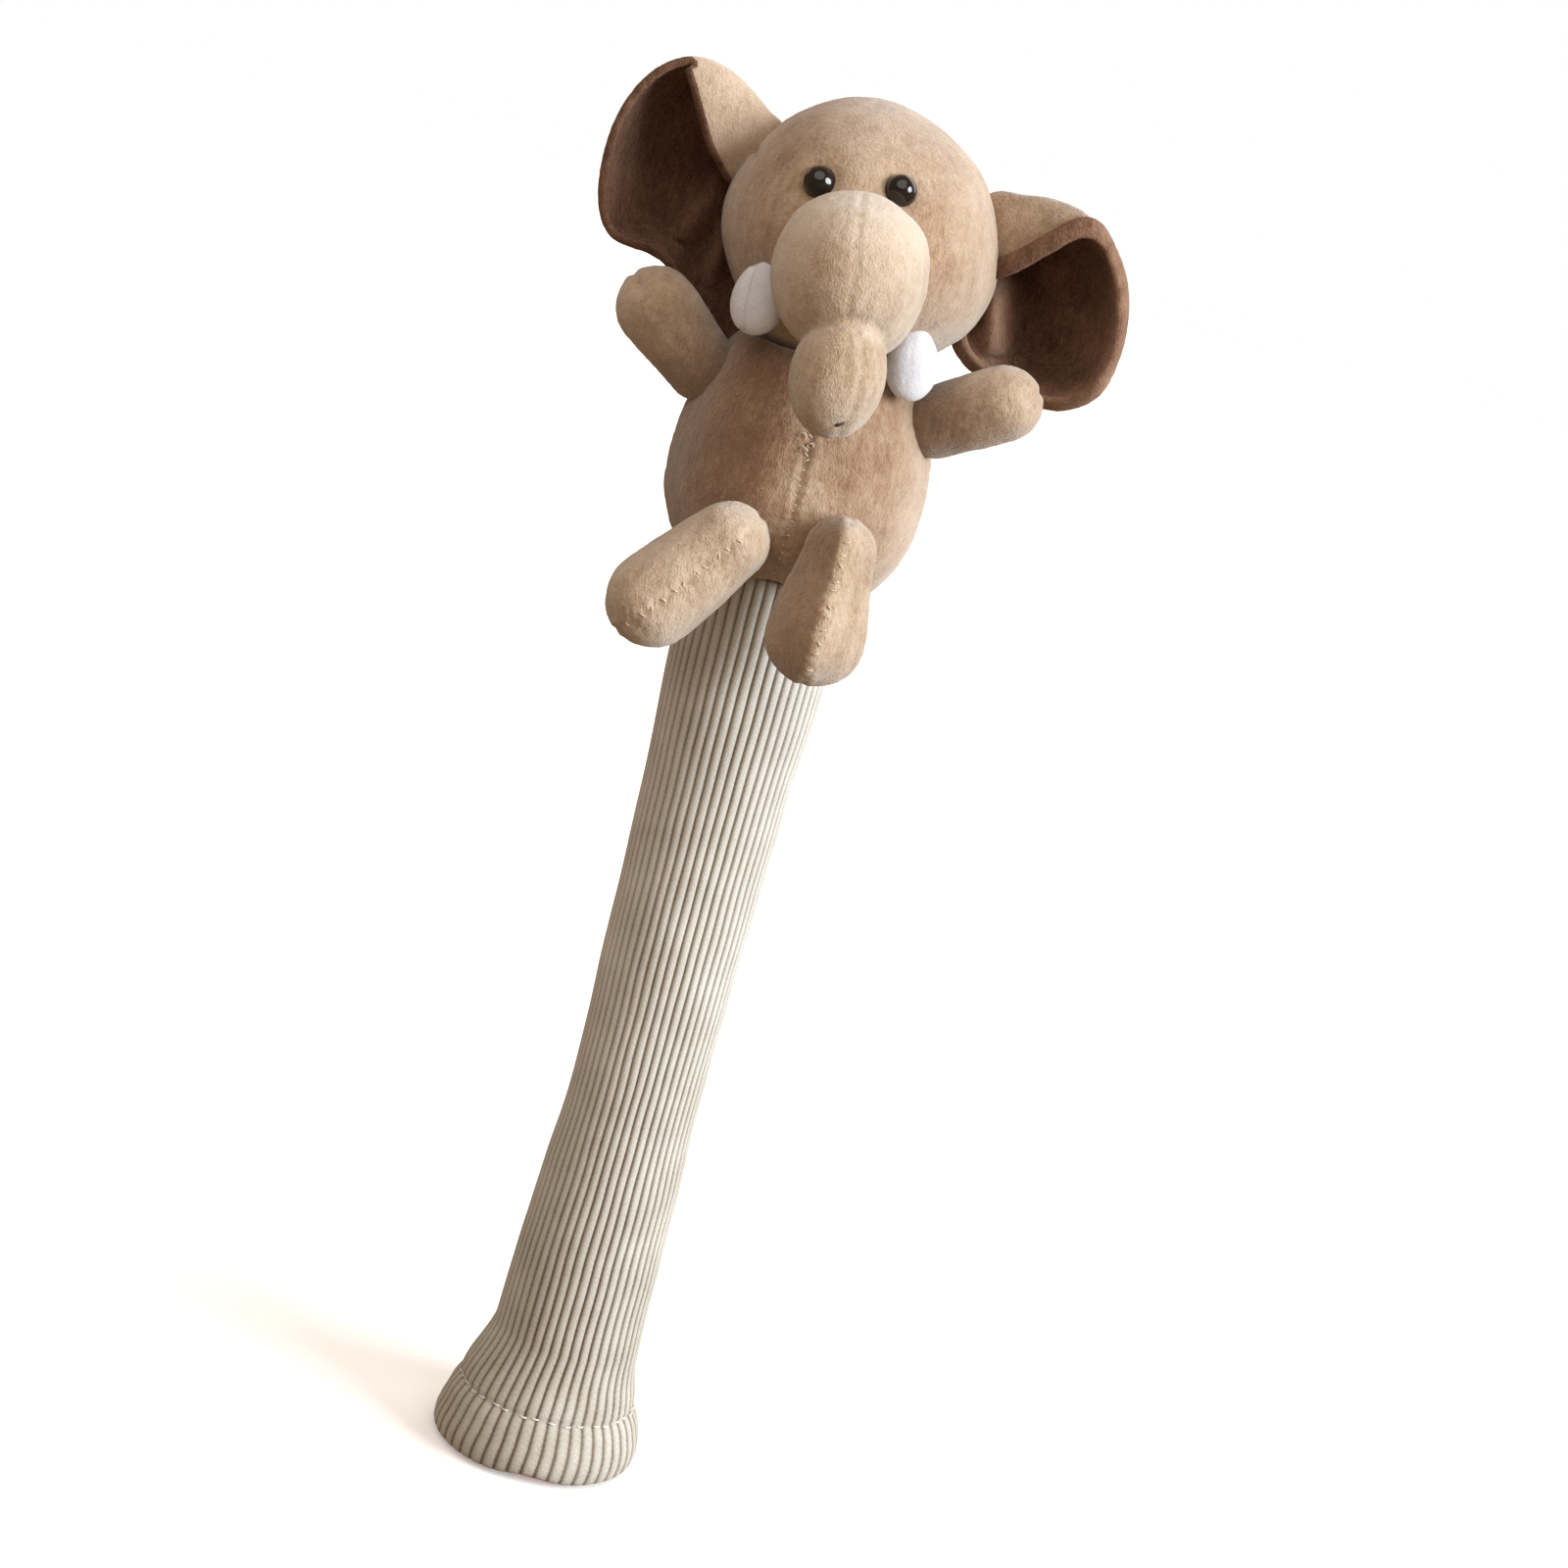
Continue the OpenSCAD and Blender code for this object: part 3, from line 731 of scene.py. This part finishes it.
def head_radius(d):
    """Radius in each direction: the smoothed outline from the front, and round from the side."""
    angle = np.degrees(np.arctan2(d[:, 2], d[:, 0]))
    degrees = np.arange(-180, 181)
    kernel = np.hanning(23)
    even = np.pad(np.interp(degrees, *np.array(OUTLINE).T), 30, "wrap")
    rim = np.interp(angle, degrees, np.convolve(even, kernel / kernel.sum(), "same")[30:-30])
    return 48.3 + (rim - 48.3) * (1 - d[:, 1] ** 2)


def make_head():
    """Round head with an ear-to-ear seam, a back seam, a short dart and dished eye seats."""
    dirs, faces = cube_sphere(30)
    piece = make("head_cloth", HEAD + dirs * (head_radius(dirs) - 0.6)[:, None], faces, TAN)
    p = coords(piece) - HEAD
    seam = np.minimum(np.abs(p[:, 1] - 1), np.where(p[:, 1] > 0, np.abs(p[:, 0]), 99))
    puff(piece, seam < 2.4, 0.9)
    subdivide(piece)
    p, out = coords(piece), normals(piece)
    x, y, z = (p - HEAD).T
    push = groove(np.abs(y - 1 + 0.6 * np.sin(z / 9)), 0.8, 1.3)
    push += np.where(y > 0, groove(np.abs(x), 0.6, 1.3), 0)
    dart = np.abs((x + 42.5) * 0.78 + (z - 21) * 0.62)
    push -= 1.1 * bump_at(dart, 1.4) * smooth((12 - np.abs(y + 8)) / 8) * (x < -20)
    for eye in EYES.values():
        far = np.linalg.norm(p - eye, axis=1)
        push -= 1.1 * bump_at(far - 5.0, 2.6) + 0.7 * bump_at(far, 10)
    push += 0.5 * bump_at(np.linalg.norm(p - HEAD - [-3, -44, 24], axis=1), 9)
    move(piece, p + out * push[:, None])
    nap(piece, 0.30, 0.11, 2)
    x, _, z = (coords(piece) - HEAD).T
    # Painted light on the right side and the top of the forehead, painted shade on the far left.
    painted_light_top = 0.12 * smooth((30 - np.abs(x - 2)) / 30) * smooth((z - 8) / 16)
    store_painted_shading(piece, 0.16 * smooth((x - 14) / 22) + painted_light_top - 0.12 * smooth((-x - 26) / 14))
    return piece


EYE_DOME = [(0.05, 5.1), (1.8, 4.8), (3.5, 3.75), (4.8, 2.1), (5.5, 0.4), (5.55, -1.2), (4.6, -2.6),
            (0.05, -3.0)]


def make_eye(side, head_tree):
    """Glossy dome on the head, from radius and height over the cloth."""
    out = unit(EYES[side] - HEAD)
    seat, _ = surface(head_tree, HEAD + out * 90, -out)
    e1 = unit(np.cross(out, [0, 0, 1]))
    e2 = np.cross(out, e1)
    rings = [ring_of(r, turn(60), seat + out * (h - 0.2), e1, e2) for r, h in resample(EYE_DOME, 30)]
    eye = loft(f"eye_{side}_dome", rings, GLOSS, pole=(True, True))
    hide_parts(f"eye_{side}")
    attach(eye, "head")


head = make_head()
head_tree = tree_of(head)
for side in EYES:
    make_eye(side, head_tree)


# -------------------------------------------------------------------- trunk
ROOT_C, ROOT_S = np.array([1.0, -50.0, 450.2]), np.array([26.7, 30.0, 28.6])
TIP_C, TIP_S = np.array([5.9, -68.5, 419.8]), np.array([16.4, 16.4, 21.6])
TRUNK_SEAM = [(398, 9.5), (403, 11.6), (410, 13.2), (418, 13.6), (429, 12.4), (436, 8.5), (440, 4.2),
              (445, 3.6), (455, 2.6), (465, 0.8), (476, -1.2), (482, -2.0)]
TRUNK_END = np.array([11.4, -80.5, 403.6])


def oval(p, centre, size):
    """Distance from a centre, as a share of the oval's own radius."""
    return np.linalg.norm((p - centre) / size, axis=1)


def trunk_lines(p):
    """Distance over the cloth to the centre seam, and the share across the fold from root to tip."""
    seam = np.abs(p[:, 0] - table(TRUNK_SEAM, p[:, 2]))
    return seam, oval(p, ROOT_C, ROOT_S) - oval(p, TIP_C, TIP_S)


def make_trunk():
    """Big round root and a smaller tip below its bend, joined over a core and drawn in at the fold."""
    dirs, faces = cube_sphere(26)
    square = 1 + 0.05 * (1 - np.abs(dirs[:, 2] - 0.62) * 2.4).clip(0) * (dirs[:, 1] < 0.5)
    root = ROOT_C + dirs * (ROOT_S - 0.5) * square[:, None]
    root[:, 0] += 1.5 * smooth((446 - root[:, 2]) / 25)
    tip = TIP_C + dirs * (TIP_S - 0.5)
    core = np.array([3.0, -60, 432]) + dirs * [12.5, 12, 13]
    n = len(dirs)
    skins = np.vstack([faces, faces + n, faces + 2 * n])
    piece = make("trunk_cloth", np.vstack([root, tip, core]), skins, PALE)
    merge(piece, 2.3)
    p = coords(piece)
    seam, fold = trunk_lines(p)
    puff(piece, ((seam < 2.2) & (p[:, 1] < -55)) | (np.abs(fold) < 0.12) | (p[:, 1] > -42), 1.0)
    subdivide(piece)
    p, out = coords(piece), normals(piece)
    seam, fold = trunk_lines(p)
    front = p[:, 1] < -52
    push = groove(seam, 0.32, 1.0, 0.5) * front
    push -= 1.5 * bump_at(fold * 16, 1.7) * smooth((-58 - p[:, 1]) / 12)
    gather = np.sin(p[:, 2] * 2 * math.pi / 3.1 + 2 * ripple(p, 5.0, 21))
    push += 0.07 * bump_at(seam, 4.2) * front * gather
    push -= 1.5 * bump_at(np.linalg.norm(p - TRUNK_END, axis=1), 2.8)
    move(piece, p + out * push[:, None])
    nap(piece, 0.42, 0.12, 5)
    x, _, z = coords(piece).T
    # Painted light on the top of the root, on its right front and on its left; painted shade on the trunk's
    # lower part.
    painted_light_top = 0.34 * smooth((z - 455) / 18) + 0.15 * smooth((x - 6) / 8) * smooth((z - 430) / 8)
    painted_light_left = 0.16 * smooth((-8 - x) / 10) * smooth((z - 434) / 6)
    store_painted_shading(piece, painted_light_top + painted_light_left - 0.20 * smooth((430 - z) / 8) * smooth((12 - x) / 14))
    return piece


def make_tip_stitch(trunk):
    """Two crossed dark stitches at the end of the trunk."""
    ray = unit(np.array([0.2, -0.75, -0.62]))
    at, out = surface(tree_of(trunk), np.array([11.4, -81, 403.4]) + 20 * ray, -ray)
    paths = [bar(at, out, np.array([0.9, 0.0, 0.5]), 3.8, 0.6),
             bar(at + [0, 0, 0.35], out, np.array([0.9, 0.0, 0.2]), 3.0, 0.6)]
    piece = strands("trunk_tip_thread", paths, 0.42, DARK_THREAD)
    return piece


trunk = make_trunk()
tip_thread = make_tip_stitch(trunk)


# -------------------------------------------------------------------- tusks
def make_tusk(side, centre, size, lean, face, crease):
    """Felt oval with a fold down its length. size is half its width, half its height and half its depth."""
    half_w, half_h, thick = size
    dirs, faces = cube_sphere(16)
    ahead = unit(np.array(face))
    up = np.array([math.sin(math.radians(lean)), 0, math.cos(math.radians(lean))])
    up = unit(up - ahead * (up @ ahead))
    across = np.cross(ahead, up)
    a, b, c = dirs.T
    width = half_w * (1 - 0.10 * c)
    points = centre + np.outer(a * width, across) + np.outer(c * half_h, up) + np.outer(b * thick, ahead)
    piece = make(f"tusk_{side}_felt", points, faces, FELT)
    puff(piece, np.abs(b) < 0.16, 0.9)
    subdivide(piece)
    p, out = coords(piece), normals(piece)
    x, depth = (p - centre) @ across, (p - centre) @ ahead
    push = -crease * bump_at(x - 0.30 * half_w, 1.1) * (depth > 0) - 0.25 * bump_at(depth, 0.5)
    move(piece, p + out * push[:, None])
    nap(piece, 0.22, 0.05, 31)
    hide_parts(f"tusk_{side}")
    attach(piece, "head")


make_tusk("right", np.array([-27.0, -36.5, 434.6]), (9.6, 12.4, 6.2), -8, (-0.35, -0.92, 0.15), 1.4)
make_tusk("left", np.array([28.6, -29.0, 426.2]), (9.0, 12.6, 6.0), -6, (0.30, -0.94, 0.10), 0.1)


# --------------------------------------------------------------------- ears
EAR_COUNT = 190
CUP_RINGS = 30
ROLL_RINGS = 19
FORWARD = np.array([0.0, -1.0, 0.0])


def ear_edges(rim, flap, centre):
    """Rim of the cup, and the free edge of the cloth that is rolled or folded forward over it."""
    edge = np.array([sight(x, z, y) for x, z, y in rim])
    free = []
    for i, p in enumerate(edge):
        if i in flap:
            x, z, y = flap[i]
            free.append(sight(x, z, y))
        else:
            inward = unit(centre - p) * [1, 0, 1]
            free.append(p + 1.2 * inward + 3.4 * FORWARD)
    return loop(edge, EAR_COUNT), loop(free, EAR_COUNT)


def near_ridge(skin, start, end):
    """Distance of each point of the cup from a ridge's line, and its share along that line."""
    start, way = np.array(start), np.subtract(end, start)
    q = skin[:CUP_RINGS, :, [0, 2]] - start
    t = np.clip(q @ way / (way @ way), 0, 1)
    return np.linalg.norm(q - t[..., None] * way, axis=-1), t


def ear_skin(edge, free, centre, ridges):
    """Inner face of an ear as rings of points: the cup first, then the roll forward from its rim."""
    rings = []
    for share in np.linspace(0.02, 1.0, CUP_RINGS):
        ring = centre + (edge - centre) * share
        ring[:, 1] = centre[1] + (edge[:, 1] - centre[1]) * share**2.3
        rings.append(ring)
    away = unit((edge - centre) * [1, 0, 1])
    length = np.linalg.norm(free - edge, axis=1)[:, None]
    first = edge + away * np.minimum(0.10 * length, 1.0) + FORWARD * np.minimum(0.20 * length, 3.5)
    second = free + (edge - free) * 0.4 + FORWARD * 0.16 * length
    for t in np.linspace(0, 1, ROLL_RINGS + 1)[1:]:
        u = 1 - t
        rings.append(edge * u**3 + 3 * first * t * u**2 + 3 * second * t**2 * u + free * t**3)
    skin = np.array(rings)
    for start, end, width, height in ridges:
        far, t = near_ridge(skin, start, end)
        skin[:CUP_RINGS, :, 1] -= height * bump_at(far, width) * np.sin(math.pi * (0.15 + 0.85 * t)) ** 0.5
    return skin


def ear_painted_highlight(skin, ridges, painted_light, least_highlight):
    """Painted highlight over the inner face: lighter at the rim, on the roll and along the ridges."""
    painted_highlight = painted_light * bump_at(np.linalg.norm(skin - skin[CUP_RINGS - 1], axis=2), 5.5)
    painted_highlight[CUP_RINGS:] = painted_light
    painted_highlight = np.maximum(painted_highlight, least_highlight)
    painted_highlight *= 0.85 + 0.30 * ripple(skin.reshape(-1, 3), 8.0, 71).reshape(painted_highlight.shape)
    for start, end, width, height in ridges:
        far, _ = near_ridge(skin, start, end)
        painted_highlight[:CUP_RINGS] = np.maximum(painted_highlight[:CUP_RINGS], 0.055 * height * bump_at(far, 1.1 * width))
    return painted_highlight


def make_ear(side, sign, rim, flap, hub, ridges, wrap, painted_light, least_highlight):
    """Cupped ear of two plies. rim and flap hold (x, z, y), with x and z as seen at depth 0."""
    centre = sight(*hub)
    edge, free = ear_edges(rim, flap, centre)
    skin = ear_skin(edge, free, centre, ridges)
    painted_highlight = ear_painted_highlight(skin, ridges, painted_light, least_highlight)
    flat = skin.reshape(-1, 3)
    flat = flat + np.outer(ripple(flat, 15.0, 40 + sign) * 0.9 + ripple(flat, 6.0, 43) * 0.35, [0.2, 1, 0.1])
    skin = flat.reshape(skin.shape)
    along = np.gradient(skin, axis=0)
    around = (np.roll(skin, -1, axis=1) - np.roll(skin, 1, axis=1)) / 2
    back = unit(np.cross(along, around))
    if back[12, :, 1].mean() < 0:
        back = -back
    last, tangent, out = skin[-1], unit(along[-1]), back[-1]
    turned = [(0.8, 0.4), (0.9, 1.5), (0.2, 2.5), (-0.5 * wrap, 2.8), (-wrap, 2.6), (-wrap - 0.1, 1.9)]
    lining = [*skin, *(last + a * tangent + b * out for a, b in turned), *(skin + 0.8 * back)[::-1]]
    cover = [*(skin + 0.95 * back), *(skin + 1.95 * back)[::-1]]
    folded = np.linalg.norm(free - edge, axis=1) > 7
    # Painted highlight along the turned rim, weaker where the cloth is folded forward.
    band = painted_light * np.where(folded, 0.5, 1.0) * (0.9 + 0.5 * ripple(edge, 5.0, 73))
    plies = (("front", lining, BROWN, "brown_plush"), ("back", cover, LIT_TAN, "plush"))
    for kind, layers, material, slot in plies:
        piece = loft(f"ear_{side}_{kind}_cloth", layers, material, pole=(True, True))
        if kind == "front":
            store_painted_shading(piece, np.concatenate([painted_highlight.ravel(), np.tile(band, len(turned)), np.zeros(painted_highlight.size + 2)]))
        else:
            # Painted light or painted shade on the back ply, set by each ear's painted light.
            store_painted_shading(piece, 0.45 - painted_light * (1.0 + 0.25 * ripple(coords(piece), 9.0, 77)))
        nap(piece, 0.15, 0.17, 50 + sign)
        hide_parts(f"ear_{side}_{kind}")
        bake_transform(piece)


make_ear(
    "right", -1,
    rim=[(-36.0, 487.5, 4), (-42.0, 492.8, 1), (-49.0, 497.8, -2), (-55.5, 501.4, -5), (-63.5, 503.8, -7),
         (-71.0, 503.4, -8), (-77.5, 499.6, -9), (-82.5, 494.2, -9), (-87.0, 485.5, -9), (-89.6, 475.5, -8),
         (-90.2, 465.5, -7), (-89.2, 455.0, -6), (-86.6, 446.6, -5), (-82.6, 441.6, -3), (-76.5, 439.8, -1),
         (-69.0, 439.2, 2), (-61.5, 436.5, 5), (-55.5, 429.5, 8), (-50.0, 421.0, 10), (-44.0, 414.0, 11),
         (-35.0, 413.0, 11), (-34.0, 428.0, 11), (-37.0, 448.0, 11), (-38.0, 468.0, 9)],
    flap={0: (-50.0, 469.5, 0), 1: (-57.5, 477.5, -7), 2: (-63.0, 486.0, -11), 3: (-67.5, 494.0, -13),
          4: (-71.2, 500.0, -12), 23: (-45.0, 467.0, 3)},
    hub=(-66.0, 463.0, 15),
    ridges=[((-53.5, 464.0), (-61.0, 443.0), 4.4, 5.0), ((-45.0, 452.0), (-48.0, 430.0), 3.0, 4.0)],
    wrap=1.5, painted_light=0.3, least_highlight=0.09)
make_ear(
    "left", 1,
    rim=[(40.0, 484.6, 4), (51.0, 487.4, 1), (62.0, 488.4, -2), (72.5, 486.4, -5), (81.4, 479.4, -7),
         (89.0, 468.4, -8), (93.2, 455.4, -8), (93.4, 441.5, -6), (90.4, 431.8, -4), (83.6, 426.2, -1),
         (76.0, 424.4, 2), (66.0, 426.0, 4), (55.0, 429.0, 4), (46.0, 433.5, 3), (42.0, 441.0, 4),
         (40.5, 453.0, 8), (38.5, 468.0, 8)],
    flap={0: (44.0, 457.0, 1), 1: (55.0, 464.0, -8), 2: (64.5, 473.0, -12), 3: (73.5, 480.5, -12),
          16: (42.0, 456.0, 4)},
    hub=(73.0, 456.0, 17),
    ridges=[((50.0, 456.0), (55.0, 433.0), 5.5, 14.0), ((70.0, 466.0), (84.0, 444.0), 5.0, 3.6)],
    wrap=6.6, painted_light=0.8, least_highlight=0.0)


# -------------------------------------------------------------------- limbs
def make_limb(name, limb, material, seed, shade, twist=0.0, flat=1.0, seam=0.4, detail=22, wrinkle=0.3):
    """Stuffed limb with a seam down its front and its rear. shade gives the painted light and shade of the
    pile.
    """
    root, tip = np.array(limb["root"]), np.array(limb["tip"])
    root_r, tip_r = limb["radii"]
    length = np.linalg.norm(tip - root)
    axes = limb_frame(root, tip, np.array([math.sin(twist), -math.cos(twist), 0]))
    axis, fore, side = axes
    dirs, faces = cube_sphere(detail)
    points, angle, reach = limb_points(dirs, root, tip, root_r - 0.6, tip_r - 0.6, axes, flat)
    s = (points - root) @ axis
    core = root + np.outer(s, axis)
    swell = 1 + limb["belly"] * np.sin(math.pi * np.clip((s + root_r) / (length + root_r + tip_r), 0, 1))
    if "gable" in limb:
        power = limb["gable"]
        square = (np.abs(np.cos(angle)) ** power + np.abs(np.sin(angle)) ** power) ** (-1 / power)
        swell *= 1 + (1.12 * square - 1) * smooth(0.5 + 1.5 * np.cos(angle))
    piece = make(name, core + (points - core) * swell[:, None], faces, material)
    puff(piece, reach * np.abs(np.sin(angle)) < 1.8, 1.1)
    subdivide(piece)
    p, out = coords(piece), normals(piece)
    s, x, f = (p - root) @ axis, (p - root) @ side, (p - root) @ fore
    ahead, rear = smooth((f + 2) / 4), smooth((2 - f) / 4)
    push = groove(np.abs(x), seam, 1.15, 0.4) * ahead + groove(np.abs(x), 0.6, 1.2) * rear
    gather = np.sin((s + 0.5 * x) * 2 * math.pi / 3.2 + 4 * ripple(p, 6.0, seed + 3))
    push += 0.12 * bump_at(x, 4.0) * ahead * gather * smooth((length + tip_r * 0.8 - s) / 6)
    push -= wrinkle * bump_at(x, 5.0) * ahead * np.clip(ripple(p, 3.0, seed + 4), 0, 1)
    crest = limb.get("crest", 0.0) * np.exp(-np.abs(x) / 5.0) * ahead
    push += crest * smooth((s + root_r) / 8) * smooth((length + tip_r - s) / 6)
    far = np.linalg.norm(p - tip - axis * tip_r * 0.93 - fore * tip_r * 0.30, axis=1)
    push -= limb.get("dimple", 0.0) * (bump_at(far, 3.0) + 0.4 * bump_at(far, 7.0))
    move(piece, p + out * push[:, None])
    store_painted_shading(piece, shade(s, x, ahead, length))
    nap(piece, 0.42, 0.14, seed)
    return piece, axes


def make_leg_stitches(side, cloth, limb, axes):
    """Closing stitches across the seam down the front of a leg."""
    axis, fore, across = axes
    tree = tree_of(cloth)
    length = np.linalg.norm(np.subtract(limb["tip"], limb["root"]))
    places = np.linspace(-2, length + 9, 11) + 0.8 * np.sin(np.arange(11) * 2.7)
    paths = []
    for i, s in enumerate(places):
        at, out = surface(tree, limb["root"] + axis * s + fore * 60, -fore)
        paths.append(bar(at, out, across + axis * 0.9 * math.sin(2.1 * i + 0.6), 2.4, 0.3))
    piece = strands(f"leg_{side}_thread", paths, 0.28, THREAD)
    return piece


# Painted shade towards an arm's root.
def painted_shade_root(s, x, ahead, length):
    return -0.5 * smooth((24 - s) / 20)


# Painted light near a leg's root and painted shade at its end.
def painted_shading_ends(s, x, ahead, length):
    return 0.1 * smooth((4 - s) / 8) - 0.16 * smooth((s - length - 2) / 8)


# Painted shade on one side of a leg's front, and a little on the other side.
def painted_shade_side(s, x, ahead, length):
    return -0.55 * smooth((x - 0.5) / 2.5) * ahead - 0.14 * smooth((-x - 1.5) / 3)


ARMS = {
    "left": dict(root=(41.5, -9.5, 407.5), tip=(62.8, -19.0, 420.8), radii=(13.0, 13.4)),
    "right": dict(root=(-41.5, -9.5, 405.5), tip=(-61.0, -19.0, 422.0), radii=(13.0, 14.4)),
}
LEGS = {
    "right": dict(root=(-14.9, -52.8, 356.0), tip=(-36.0, -57.5, 329.2), radii=(13.4, 15.4), belly=0.12),
    "left": dict(root=(21.4, -49.6, 362.1), tip=(20.6, -55.5, 330.5), radii=(11.8, 16.0), belly=0.06,
                 gable=1.3, crest=1.6),
}

for (side, limb), seed in zip(ARMS.items(), (65, 55)):
    limb.update(belly=0.03, dimple=1.9)
    arm, axes = make_limb(f"arm_{side}_cloth", limb, LIT_TAN, seed, painted_shade_root, flat=0.95, seam=0.22, detail=18)
    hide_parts(f"arm_{side}_front", f"arm_{side}_back", f"arm_{side}_stuffing")
    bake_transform(arm)

for (side, limb), seed, shade in zip(LEGS.items(), (80, 87), (painted_shading_ends, painted_shade_side)):
    cloth, axes = make_limb(f"leg_{side}_cloth", limb, PALE, seed, shade, twist=0.10, wrinkle=0.9)
    stitching = make_leg_stitches(side, cloth, limb, axes)
    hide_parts(f"leg_{side}_inner", f"leg_{side}_outer", f"leg_{side}_stuffing")
    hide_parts(f"leg_{side}_stitches")
    for piece in (cloth, stitching):
        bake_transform(piece)


# ----------------------------------------------- places on the moving bodies
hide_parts("knit_sleeve")
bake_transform(sleeve)
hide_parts("hem_stitches")
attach(hem, "sleeve")

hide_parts("torso_front_left", "torso_front_right", "torso_back_left", "torso_back_right",
            "torso_stuffing")
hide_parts("belly_stitches")
for piece in (torso, belly):
    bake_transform(piece)

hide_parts("head_front", "head_back_left", "head_back_right", "head_stuffing", "eye_washers")
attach(head, "head")

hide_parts("trunk_root_left", "trunk_root_right", "trunk_root_stuffing", "trunk_tip_left",
            "trunk_tip_right", "trunk_tip_stuffing")
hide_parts("trunk_tip_stitch")
for piece in (trunk, tip_thread):
    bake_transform(piece)

for node, material in (("woven_label", LABEL), ("pocket_lining", LINING)):
    for slot in frame["nodes"][node].material_slots:
        slot.material = material

# -------------------------------------------------- floor, light and camera
FLOOR_HALF = 9.0
FLOOR_Z = -0.0014
LENS = 73.928
SENSOR = 36


def make_floor():
    """Pale paper under the object, a little self-lit, that throws no light back on it."""
    s = Shader("pale_floor", Roughness=0.9, Emission_Color=(1.0, 1.0, 1.0, 1.0), Emission_Strength=0.22)
    where = s.node("ShaderNodeTexCoord").outputs["Object"]
    s.wire(s.ramp(s.noise(where, 3.0, 2.0), (0.3, (0.90, 0.90, 0.90)), (0.7, (0.93, 0.93, 0.93))))
    corners = [(x * FLOOR_HALF, y * FLOOR_HALF, 0) for x, y in ((-1, -1), (1, -1), (1, 1), (-1, 1))]
    mesh = bpy.data.meshes.new("floor")
    mesh.from_pydata(corners, [], [(0, 1, 2, 3)])
    mesh.materials.append(s.mat)
    floor = bpy.data.objects.new("floor", mesh)
    floor.location.z = FLOOR_Z
    floor.visible_diffuse = False
    floor.visible_glossy = False
    bpy.context.scene.collection.objects.link(floor)


def make_world(light, strength):
    """Soft warm light from all round, in front of a plain white backdrop."""
    world = bpy.data.worlds.new("studio")
    world.use_nodes = True
    tree = world.node_tree
    tree.nodes.clear()
    soft = tree.nodes.new("ShaderNodeBackground")
    soft.inputs[0].default_value = (*light, 1.0)
    soft.inputs[1].default_value = strength
    plain = tree.nodes.new("ShaderNodeBackground")
    plain.inputs[0].default_value = (1.0, 1.0, 1.0, 1.0)
    ways = tree.nodes.new("ShaderNodeLightPath")
    pick = tree.nodes.new("ShaderNodeMixShader")
    sky = tree.nodes.new("ShaderNodeOutputWorld")
    tree.links.new(ways.outputs["Is Camera Ray"], pick.inputs[0])
    tree.links.new(soft.outputs[0], pick.inputs[1])
    tree.links.new(plain.outputs[0], pick.inputs[2])
    tree.links.new(pick.outputs[0], sky.inputs[0])
    bpy.context.scene.world = world


def make_lamp(name, towards, strength, spread, colour):
    """Sun lamp in a direction from the object, with its spread in degrees."""
    light = bpy.data.lights.new(name, "SUN")
    light.energy = strength
    light.angle = math.radians(spread)
    light.color = colour
    holder = bpy.data.objects.new(name, light)
    holder.rotation_euler = Vector(towards).to_track_quat("Z", "Y").to_euler()
    bpy.context.scene.collection.objects.link(holder)


def make_camera(pitch, roll):
    """Camera at the viewpoint, pitched up from straight down and then rolled."""
    camera = bpy.data.cameras.new("camera")
    camera.sensor_width = SENSOR
    camera.lens = LENS
    camera.clip_start = 0.01
    view = bpy.data.objects.new("camera", camera)
    aim = Matrix.Rotation(math.radians(pitch), 4, "X") @ Matrix.Rotation(math.radians(roll), 4, "Z")
    view.matrix_world = Matrix.Translation(Vector(VIEWPOINT * MM)) @ aim
    bpy.context.scene.collection.objects.link(view)
    bpy.context.scene.camera = view
    bpy.context.scene.view_settings.view_transform = "Standard"


make_floor()
make_world((1.0, 0.69, 0.44), 0.34)
make_lamp("key", (0.91, -0.38, 0.34), 4.8, 36, (0.92, 0.97, 1.0))
make_lamp("top", (-0.08, -0.65, 0.76), 1.5, 70, (1.0, 0.96, 0.90))
make_lamp("back", (0.55, 0.80, 0.30), 1.7, 70, (1.0, 0.98, 0.96))
make_camera(77.5, 15)
